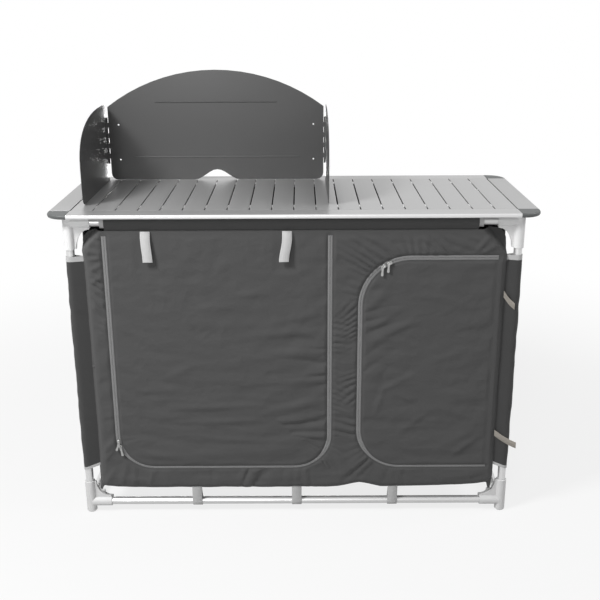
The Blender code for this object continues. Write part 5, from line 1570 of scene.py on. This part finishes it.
@dataclass
class Cabinet:
    """The cloth cabinet: front with two zipped doors, back, sides, floor, divider and shelves."""

    folds: FoldField
    spacing: float = 0.0037
    front_cut: tuple[float, float] = (1.019, 0.694)
    sleeve_length: float = 0.8875
    sleeve_girth: float = 0.098
    side_half: float = 0.2140
    top_radius: float = 0.0127
    top_ends: tuple[float, float] = (-0.4495, 0.438)
    top_bindings: tuple = (("left", -0.460, -0.4490), ("right", 0.4375, 0.449))
    leg_cut: tuple[float, float] = (0.562, 0.115)
    leg_radius: float = 0.0114
    leg_cloth: float = 0.0012
    leg_seam_y: float = 0.2128
    leg_ends: tuple = ((0.122, 0.014), (0.6942, 0.0))
    binding_step: float = 0.003
    stitch_pitch: float = 0.0042
    stitch_out: float = 0.0001
    # Lengths, widths and heights of a stitch at the zip, the hem and a tie, and of a coil's turn
    zip_stitch: tuple[float, float, float] = (0.0031, 0.0007, 0.0006)
    hem_stitch: tuple[float, float, float] = (0.0032, 0.0007, 0.0006)
    tie_stitch: tuple[float, float, float] = (0.0026, 0.0006, 0.0005)
    coil_turn: tuple[float, float, float] = (0.0012, 0.0015, 0.0009)
    coil_pitch: float = 0.0017
    tie_stitch_pitch: float = 0.0036
    tape_thickness: float = 0.0007
    side_tie_width: float = 0.0168

    def build(self) -> None:
        """Build every cloth piece and what is sewn to it."""
        self.front()
        for door in DOORS:
            self.door(door)
        self.back()
        for side in (-1, 1):
            self.side(side)
        self.inside_boards()
        for side in (-1, 1):
            for end in (-1, 1):
                self.leg_sleeve(end, side)
            self.hem_loops(side)
        self.door_ties()
        self.side_ties()

    def front(self) -> None:
        """Build the front panel with its openings and the outer halves of both zips."""
        with_it = []
        for door in DOORS:
            with_it += self.zip_half(door, 1)
        with_it.append(self.hem_stitches("front_hem_stitches", FRONT, self.folds.lift))
        holes = [door.outline(0.0004) for door in DOORS]
        panel = cloth_piece("front_panel", HEM, FRONT, self.spacing, self.folds.lift, holes)
        sleeve, bands = self.top_sleeve(-1)
        joined(panel, sleeve)
        dress(panel, CLOTH, "frame", "polyester_cloth", "cabinet_front")

    def door(self, door: DoorShape) -> None:
        """Build a door and the inner half of its zip."""
        with_it = self.zip_half(door, -1)
        cut = door.outline(-0.0004)
        piece = cloth_piece(door.name + "_cloth", cut, FRONT, self.spacing, self.folds.lift)
        dress(piece, CLOTH, door.name, "polyester_cloth", door.name)

    def zip_half(self, door: DoorShape, side: int) -> list[Object]:
        """Build one half of a zip: its tape, its coil and the stitches that hold it.

        Args:
            door: The door that the zip closes.
            side: 1 for the half on the front panel, -1 for the half on the door.

        Returns:
            The three pieces.
        """
        line, out = door.path()
        widths = door.tape_widths()
        label = f"{door.name}_zip_{'outer' if side > 0 else 'inner'}"
        body = "frame" if side > 0 else door.name
        level = -CLOTH_FACE + self.folds.zip_sink

        def run(offset: float | np.ndarray, height: float) -> list[Vector]:
            """Return the zip's line moved sideways and outwards."""
            moved = line + out * side * np.broadcast_to(offset, len(line))[:, None]
            return [Vector((x, level - height, z)) for x, z in moved]

        across = [Vector((x, 0, z)) for x, z in out * side]
        middle = run(0.0004 + widths / 2, self.tape_thickness / 2)
        tape = strip_piece(label + "_tape", [strip(middle, across, widths,
                                                   self.tape_thickness)])
        coil = beads(label + "_coil", [run(0.0008, self.tape_thickness)], self.coil_pitch,
                     self.coil_turn, COIL)
        rows = line + out * side * (widths + 0.0032)[:, None]
        seam = FRONT.place(rows, self.folds.lift(rows) + self.stitch_out)
        sewn = beads(label + "_stitches", [[Vector(place) for place in seam]],
                     self.stitch_pitch, self.zip_stitch, THREAD)
        return [dress(tape, TAPE, body, "zip_metal"), dress(coil, COIL, body, "zip_metal"),
                dress(sewn, THREAD, body, "polyester_cloth")]

    def hem_stitches(self, name: str, plane: Plane, lift: Callable) -> Object:
        """Sew a row of stitches along a panel's wavy hem.

        Args:
            name: Name of the piece.
            plane: The panel's plane.
            lift: The function that gives the panel's height over that plane.

        Returns:
            The stitches.
        """
        flat = np.array(spaced(HEM_EDGE[2:-2], 0.01)) + np.array([0, 0.008])
        path = [Vector(place) for place in plane.place(flat, lift(flat) + self.stitch_out)]
        piece = beads(name, [path], self.stitch_pitch, self.hem_stitch, THREAD)
        return dress(piece, THREAD, "frame", "polyester_cloth")

    def back(self) -> None:
        """Build the back panel, which hangs in a few broad folds."""
        folds = ((-0.46, 0.70, -0.18, 0.40, 0.030, 0.0070), (0.46, 0.71, 0.20, 0.43, 0.028, 0.0065),
                 (-0.44, 0.12, -0.20, 0.28, 0.026, 0.0060), (0.45, 0.13, 0.17, 0.30, 0.030, 0.0065),
                 (-0.33, 0.72, -0.25, 0.52, 0.022, 0.0045), (0.31, 0.73, 0.24, 0.55, 0.022, 0.0045),
                 (-0.30, 0.11, 0.30, 0.13, 0.024, 0.0040), (-0.05, 0.68, 0.04, 0.36, 0.034, 0.0050),
                 (0.09, 0.55, -0.10, 0.25, 0.026, 0.0040))

        def lift(flat: np.ndarray) -> np.ndarray:
            """Return the folds' height, flat at the seams and turned in at the edges."""
            free = smooth_step((self.folds.beside(flat) - 0.003) / 0.015)
            free = free * smooth_step((PANEL_TOP - 0.004 - flat[:, 1]) / 0.03)
            fine = 0.0006 * waves(flat, 31, 0.05) + 0.0012 * waves(flat, 33, 0.16)
            folded = np.clip(ridges(flat, folds) + fine, -0.0012, 0.0075) * free
            return folded - self.folds.turned_in(flat)

        panel = cloth_piece("back_panel", HEM, BACK, 0.0055, lift)
        sleeve, bands = self.top_sleeve(1)
        joined(panel, sleeve)
        dress(panel, CLOTH, "frame", "polyester_cloth", "cabinet_back")
        bands.append(self.hem_stitches("back_hem_stitches", BACK, lift))

    def side(self, sign: int) -> None:
        """Build a side panel."""
        name = "left" if sign < 0 else "right"
        plane = Plane((sign * CABINET_HALF, 0, 0), (0, 1, 0), (0, 0, 1), (sign, 0, 0))
        half = self.side_half
        cut = [(-half, 0.080), (half, 0.080), (half, 0.690), (0.1980, 0.716),
               (0.1960, PANEL_TOP), (-0.1960, PANEL_TOP), (-0.1980, 0.716), (-half, 0.690)]
        folds = ((-0.17, 0.70, 0.06, 0.44, 0.026, 0.0055), (0.17, 0.69, 0.02, 0.50, 0.024, 0.0045),
                 (-0.17, 0.12, 0.04, 0.30, 0.026, 0.0050), (0.18, 0.11, 0.05, 0.24, 0.022, 0.0045))

        def lift(flat: np.ndarray) -> np.ndarray:
            """Return the folds' height, flat at the seams."""
            free = smooth_step((half - abs(flat[:, 0])) / 0.03)
            free = free * smooth_step((PANEL_TOP - flat[:, 1]) / 0.04)
            fine = 0.0006 * waves(flat, 41 + sign, 0.05) + 0.001 * waves(flat, 45 + sign, 0.14)
            return np.clip(ridges(flat, folds) + fine, -0.0010, 0.0065) * free

        piece = cloth_piece(f"side_panel_{name}", cut, plane, 0.010, lift)
        dress(piece, CLOTH, "frame", "polyester_cloth", "cabinet_side_" + name)

    def inside_boards(self) -> None:
        """Build the floor, the divider and the two shelves from their CAD boxes."""
        upright = Plane((1, 0, 0), (0, 1, 0), (0, 0, 1), (1, 0, 0)), (1, 2, 0)
        level = Plane((0, 0, 1), (1, 0, 0), (0, 1, 0), (0, 0, 1)), (0, 1, 2)
        for node in ("cabinet_floor", "shelf_left", "shelf_right", "cabinet_divider"):
            low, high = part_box(node)
            plane, (u, v, deep) = upright if node == "cabinet_divider" else level
            origin = tuple(high[deep] * share for share in plane.origin)
            cut = [(low[u], low[v]), (high[u], low[v]), (high[u], high[v]), (low[u], high[v])]
            piece = cloth_piece(node + "_cloth", cut, replace(plane, origin=origin), 0.03,
                                thickness=high[deep] - low[deep])
            dress(piece, LINING, "frame", "polyester_cloth", node)

    def top_sleeve(self, sign: int) -> tuple[Object, list[Object]]:
        """Build the sleeve round a top rail and the pale bindings at its ends.

        Args:
            sign: -1 for the front, 1 for the back.

        Returns:
            The sleeve, not yet dressed, and its bindings.
        """
        name = "front" if sign < 0 else "back"
        centre = (sign * LEG_Y, TOP_RAIL_Z)
        seam, binding_seam = ((sign * y, z) for y, z in ((0.2180, 0.7572), (0.2150, 0.7632)))
        sleeve = Sleeve(f"top_sleeve_{name}", centre, seam, self.top_radius, SHEET_THICKNESS)
        ends = [np.full(sleeve.columns, x) for x in self.top_ends]
        wrap = sleeve.build(*ends, 0, 0.006, 0.0005, 51 + sign)
        bands = []
        for side, *ends in self.top_bindings:
            binding = Sleeve(f"top_binding_{name}_{side}", centre, binding_seam,
                             self.top_radius - 0.0006, 0.0015)
            ends = [np.full(binding.columns, x) for x in ends]
            band = binding.build(*ends, 0, self.binding_step, 0.0, 1, 0.0003)
            bands.append(dress(band, BINDING, "frame", "grey_webbing"))
        return wrap, bands

    def leg_sleeve(self, end: int, side: int) -> None:
        """Build the sleeve round a leg and the bindings at its top and bottom."""
        where = f"{'front' if side < 0 else 'back'}_{'left' if end < 0 else 'right'}"
        centre = (end * LEG_X, side * LEG_Y)
        seam = (SEAM_LEFT if end < 0 else SEAM_RIGHT, side * self.leg_seam_y)
        radius, cloth = self.leg_radius, self.leg_cloth
        sleeve = Sleeve(f"leg_sleeve_{where}_cloth", centre, seam, radius, cloth)
        lean = np.abs(sleeve.loop(radius, seam)[:, 0] - centre[0] - end * radius) / 0.047
        low, high = (place + rise * lean for place, rise in self.leg_ends)
        wrap = sleeve.build(low + 0.004, high - 0.006, 2, 0.005, 0.0020, 61 + 2 * end + side)
        # The leg sleeves take the canvas painted darker: painted shade for the recess beside the
        # front's seams
        dress(wrap, SLEEVE_CLOTH_PAINTED_SHADE, "frame", "polyester_cloth", "leg_sleeve_" + where)
        for label, start, stop in (("top", high - 0.0125, high), ("bottom", low, low + 0.0075)):
            binding = Sleeve(f"leg_binding_{label}_{where}", centre, seam, radius, cloth)
            band = binding.build(start, stop, 2, self.binding_step, 0.0, 1, 0.0004)
            dress(band, BINDING, "frame", "grey_webbing")

    def hem_loops(self, sign: int) -> None:
        """Build the webbing loops from the hem round a bottom rail."""
        name = "front" if sign < 0 else "back"
        centre, seam = (sign * LEG_Y, BOTTOM_RAIL_Z), (sign * 0.2222, 0.0765)
        loop = Sleeve("", centre, seam, 0.0112, WEBBING_THICKNESS, 48).loop(0.0112, seam)[1:]
        strips = [strip([Vector((x, y, z)) for y, z in loop], [Vector((1, 0, 0))] * len(loop),
                        WEBBING_WIDTH, WEBBING_THICKNESS) for x in HEM_STRAP_X]
        loops = dress(strip_piece(f"hem_loops_{name}", strips), GREY_WEBBING, "frame",
                      "grey_webbing")

    def door_ties(self) -> None:
        """Build the two ties over the left door, each with its stitches."""
        top, width, length = PANEL_TOP - 0.001, 0.0235, 0.0735
        for number, x, lean in ((1, -0.352, 0.004), (2, -0.016, -0.008)):
            node = f"door_tie_{number}"
            corners = [(0.0, 0.0), (0.0034, 0.014), (0.0062, 0.038), (0.0084, length)]
            drops = np.linspace(0.0, length, 24)
            outs = np.interp(drops, [c[1] for c in corners], [c[0] for c in corners])
            outs = np.convolve(np.pad(outs, 2, mode="edge"), np.ones(5) / 5, "valid")
            sway = lean * smooth_step((drops - 0.016) / (length - 0.016))
            path = [Vector((x + dx, -CLOTH_FACE - 0.0012 - out, top - drop))
                    for dx, out, drop in zip(sway, outs, drops)]
            across = [Vector((1, 0, 0))] * len(path)
            tie = strip_piece(node + "_webbing",
                              [strip(path, across, width, WEBBING_THICKNESS)])
            dress(tie, PALE_WEBBING, node, "grey_webbing", node)
            offsets = [Vector((side * 0.0088, -0.0009, 0)) for side in (-1, 1)]
            seams = [[place + offset for place in path[1:-1]] for offset in offsets]
            cross = [path[8] + offset for offset in offsets]
            sewn = beads(node + "_stitches", [*seams, cross], self.tie_stitch_pitch,
                         self.tie_stitch, PALE_THREAD)
            dress(sewn, PALE_THREAD, node, "grey_webbing")

    def side_ties(self) -> None:
        """Build the two beige ties sewn into the right corner seam."""
        for label, height, length, drop in (("upper", 0.598, 0.028, 0.032),
                                            ("lower", 0.227, 0.057, 0.036)):
            node = "side_tie_" + label
            start = Vector((0.5060, -CLOTH_FACE - 0.0012, height))
            run = Vector((length, 0, -drop))
            path = [start + run * share + Vector((0, 0, -0.003 * math.sin(math.pi * share)))
                    for share in np.linspace(0.0, 1.0, 14)]
            upright = [Vector((0, 0, 1))] * len(path)
            tie = strip_piece(node + "_webbing", [
                strip(path, upright, self.side_tie_width, WEBBING_THICKNESS)])
            dress(tie, BEIGE_WEBBING, node, "beige_webbing", node)


@dataclass
class ZipHardware:
    """Four die-cast sliders and their swinging pulls."""

    rounding: float = 0.00035

    def build(self) -> None:
        """Refine the sliders and the pulls."""
        for place in ("left_upper", "left_lower", "right_lower", "right_upper"):
            for kind in ("slider", "pull"):
                node = f"zip_{kind}_{place}"
                piece = refined_copy(node, node + "_casting", self.rounding, 30.0)
                dress(piece, SLIDER, f"{kind}_{place}", "zip_metal", node)


# Studio

@dataclass
class Studio:
    """A white floor, soft lamps and the camera from which the unit is seen."""

    floor: str = "#bcbcbc"
    whiteness: float = 0.80
    clear_from: float = 0.9
    clear_to: float = 2.4
    surround: float = 0.22
    floor_half: float = 30.0
    lamp_aim: tuple[float, float, float] = (0, 0, 0.55)
    # Where the photographer stood; yaw, pitch and roll in degrees; the lens as a share of the
    # picture's width
    camera_place: tuple[float, float, float] = (0.01578, -2.32502, 1.28456)
    camera_turn: tuple[float, float, float] = (-0.055, 18.424, -0.267)
    focal_share: float = 915.135 / 600
    sensor: float = 36.0
    lamps: tuple = (
        ("key_softbox", (-1.75, -1.35, 2.75), (0.7, 0.7), 124.0),
        ("side_softbox", (2.1, -0.3, 2.05), (1.4, 1.2), 32.0),
        ("front_softbox", (-0.65, -3.35, 1.30), (0.6, 0.6), 39.0),
        ("back_softbox", (-0.4, 2.7, 0.42), (1.2, 0.5), 34.0),
    )

    def build(self) -> None:
        """Build the floor, the lamps, the surround and the camera."""
        self.lay_floor()
        self.light()
        self.surround_white()
        self.set_camera()
        bpy.context.scene.view_settings.view_transform = "Standard"

    def lay_floor(self) -> None:
        """Lay a plain pale floor that keeps the unit's shadow and clears to white far from it."""
        corners = [(x * self.floor_half, y * self.floor_half, 0)
                   for x, y in ((-1, -1), (1, -1), (1, 1), (-1, 1))]
        floor = new_mesh("floor", corners, [], [(0, 1, 2, 3)])
        material = bpy.data.materials.new("floor_paper_matt")
        material.use_nodes = True
        tree = material.node_tree
        shader = tree.nodes["Principled BSDF"]
        feed(tree, shader, {"Base Color": linear(self.floor), "Roughness": 0.9,
                            "Specular IOR Level": 0.1})
        far = add_node(tree, "ShaderNodeVectorMath", {
            "operation": "LENGTH", 0: add_node(tree, PLACE).outputs["Object"]})
        fade = add_node(tree, "ShaderNodeMapRange", {
            "interpolation_type": "SMOOTHSTEP", "From Min": self.clear_from,
            "From Max": self.clear_to, "To Min": self.whiteness, "To Max": 1.0,
            "Value": far.outputs["Value"]})
        share = add_node(tree, MATH, {"operation": "MULTIPLY", 0: fade,
                                      1: self.looked_at(tree)})
        white = add_node(tree, "ShaderNodeEmission", {"Color": (1, 1, 1, 1), "Strength": 1.0})
        mix = add_node(tree, "ShaderNodeMixShader", {0: share, 1: shader, 2: white})
        feed(tree, tree.nodes["Material Output"], {"Surface": mix})
        floor.data.materials.append(material)

    def looked_at(self, tree: bpy.types.NodeTree) -> bpy.types.Node:
        """Return a node that gives 1 for the camera and for mirrors, and 0 for light itself."""
        rays = add_node(tree, "ShaderNodeLightPath").outputs
        mirrored = add_node(tree, MATH, {"operation": "MAXIMUM", 0: rays["Is Glossy Ray"],
                                         1: rays["Is Transmission Ray"]})
        return add_node(tree, MATH, {"operation": "MAXIMUM", 0: rays["Is Camera Ray"],
                                     1: mirrored})

    def light(self) -> None:
        """Hang the soft lamps and turn each to the unit."""
        for name, place, size, power in self.lamps:
            lamp = bpy.data.lights.new(name, "AREA")
            lamp.shape = "RECTANGLE"
            lamp.size, lamp.size_y = size
            lamp.energy = power
            holder = link(name, lamp)
            holder.location = place
            aim = Vector(self.lamp_aim) - Vector(place)
            holder.rotation_euler = aim.to_track_quat("-Z", "Y").to_euler()

    def surround_white(self) -> None:
        """Show a white surround to the camera and to mirrors, and a softer one to matt surfaces."""
        world = bpy.data.worlds.new("white_surround")
        bpy.context.scene.world = world
        world.use_nodes = True
        tree = world.node_tree
        level = add_node(tree, MATH, {"operation": "MULTIPLY_ADD", 0: self.looked_at(tree),
                                      1: 1.0 - self.surround, 2: self.surround})
        feed(tree, tree.nodes["Background"], {"Color": (1, 1, 1, 1), "Strength": level})

    def set_camera(self) -> None:
        """Stand the camera where the unit was photographed from."""
        yaw, pitch, roll = (math.radians(angle) for angle in self.camera_turn)
        forward = Vector((math.sin(yaw) * math.cos(pitch), math.cos(yaw) * math.cos(pitch),
                          -math.sin(pitch)))
        level = Vector((math.cos(yaw), -math.sin(yaw), 0))
        upright = level.cross(forward)
        right = level * math.cos(roll) + upright * math.sin(roll)
        up = upright * math.cos(roll) - level * math.sin(roll)
        turn = Matrix((right, up, -forward)).transposed()
        data = bpy.data.cameras.new("camera")
        data.sensor_width = self.sensor
        data.lens = self.sensor * self.focal_share
        data.clip_start = 0.05
        camera = link("camera", data)
        camera.matrix_world = Matrix.Translation(self.camera_place) @ turn.to_4x4()
        bpy.context.scene.camera = camera


def main() -> None:
    """Build the unit piece by piece, and then the studio."""
    TubeFrame().build()
    SlattedTop().build()
    Windscreen().build()
    Cabinet(FoldField()).build()
    ZipHardware().build()
    Studio().build()


if __name__ == "__main__":
    logging.basicConfig(level=logging.INFO, format="%(message)s")
    main()
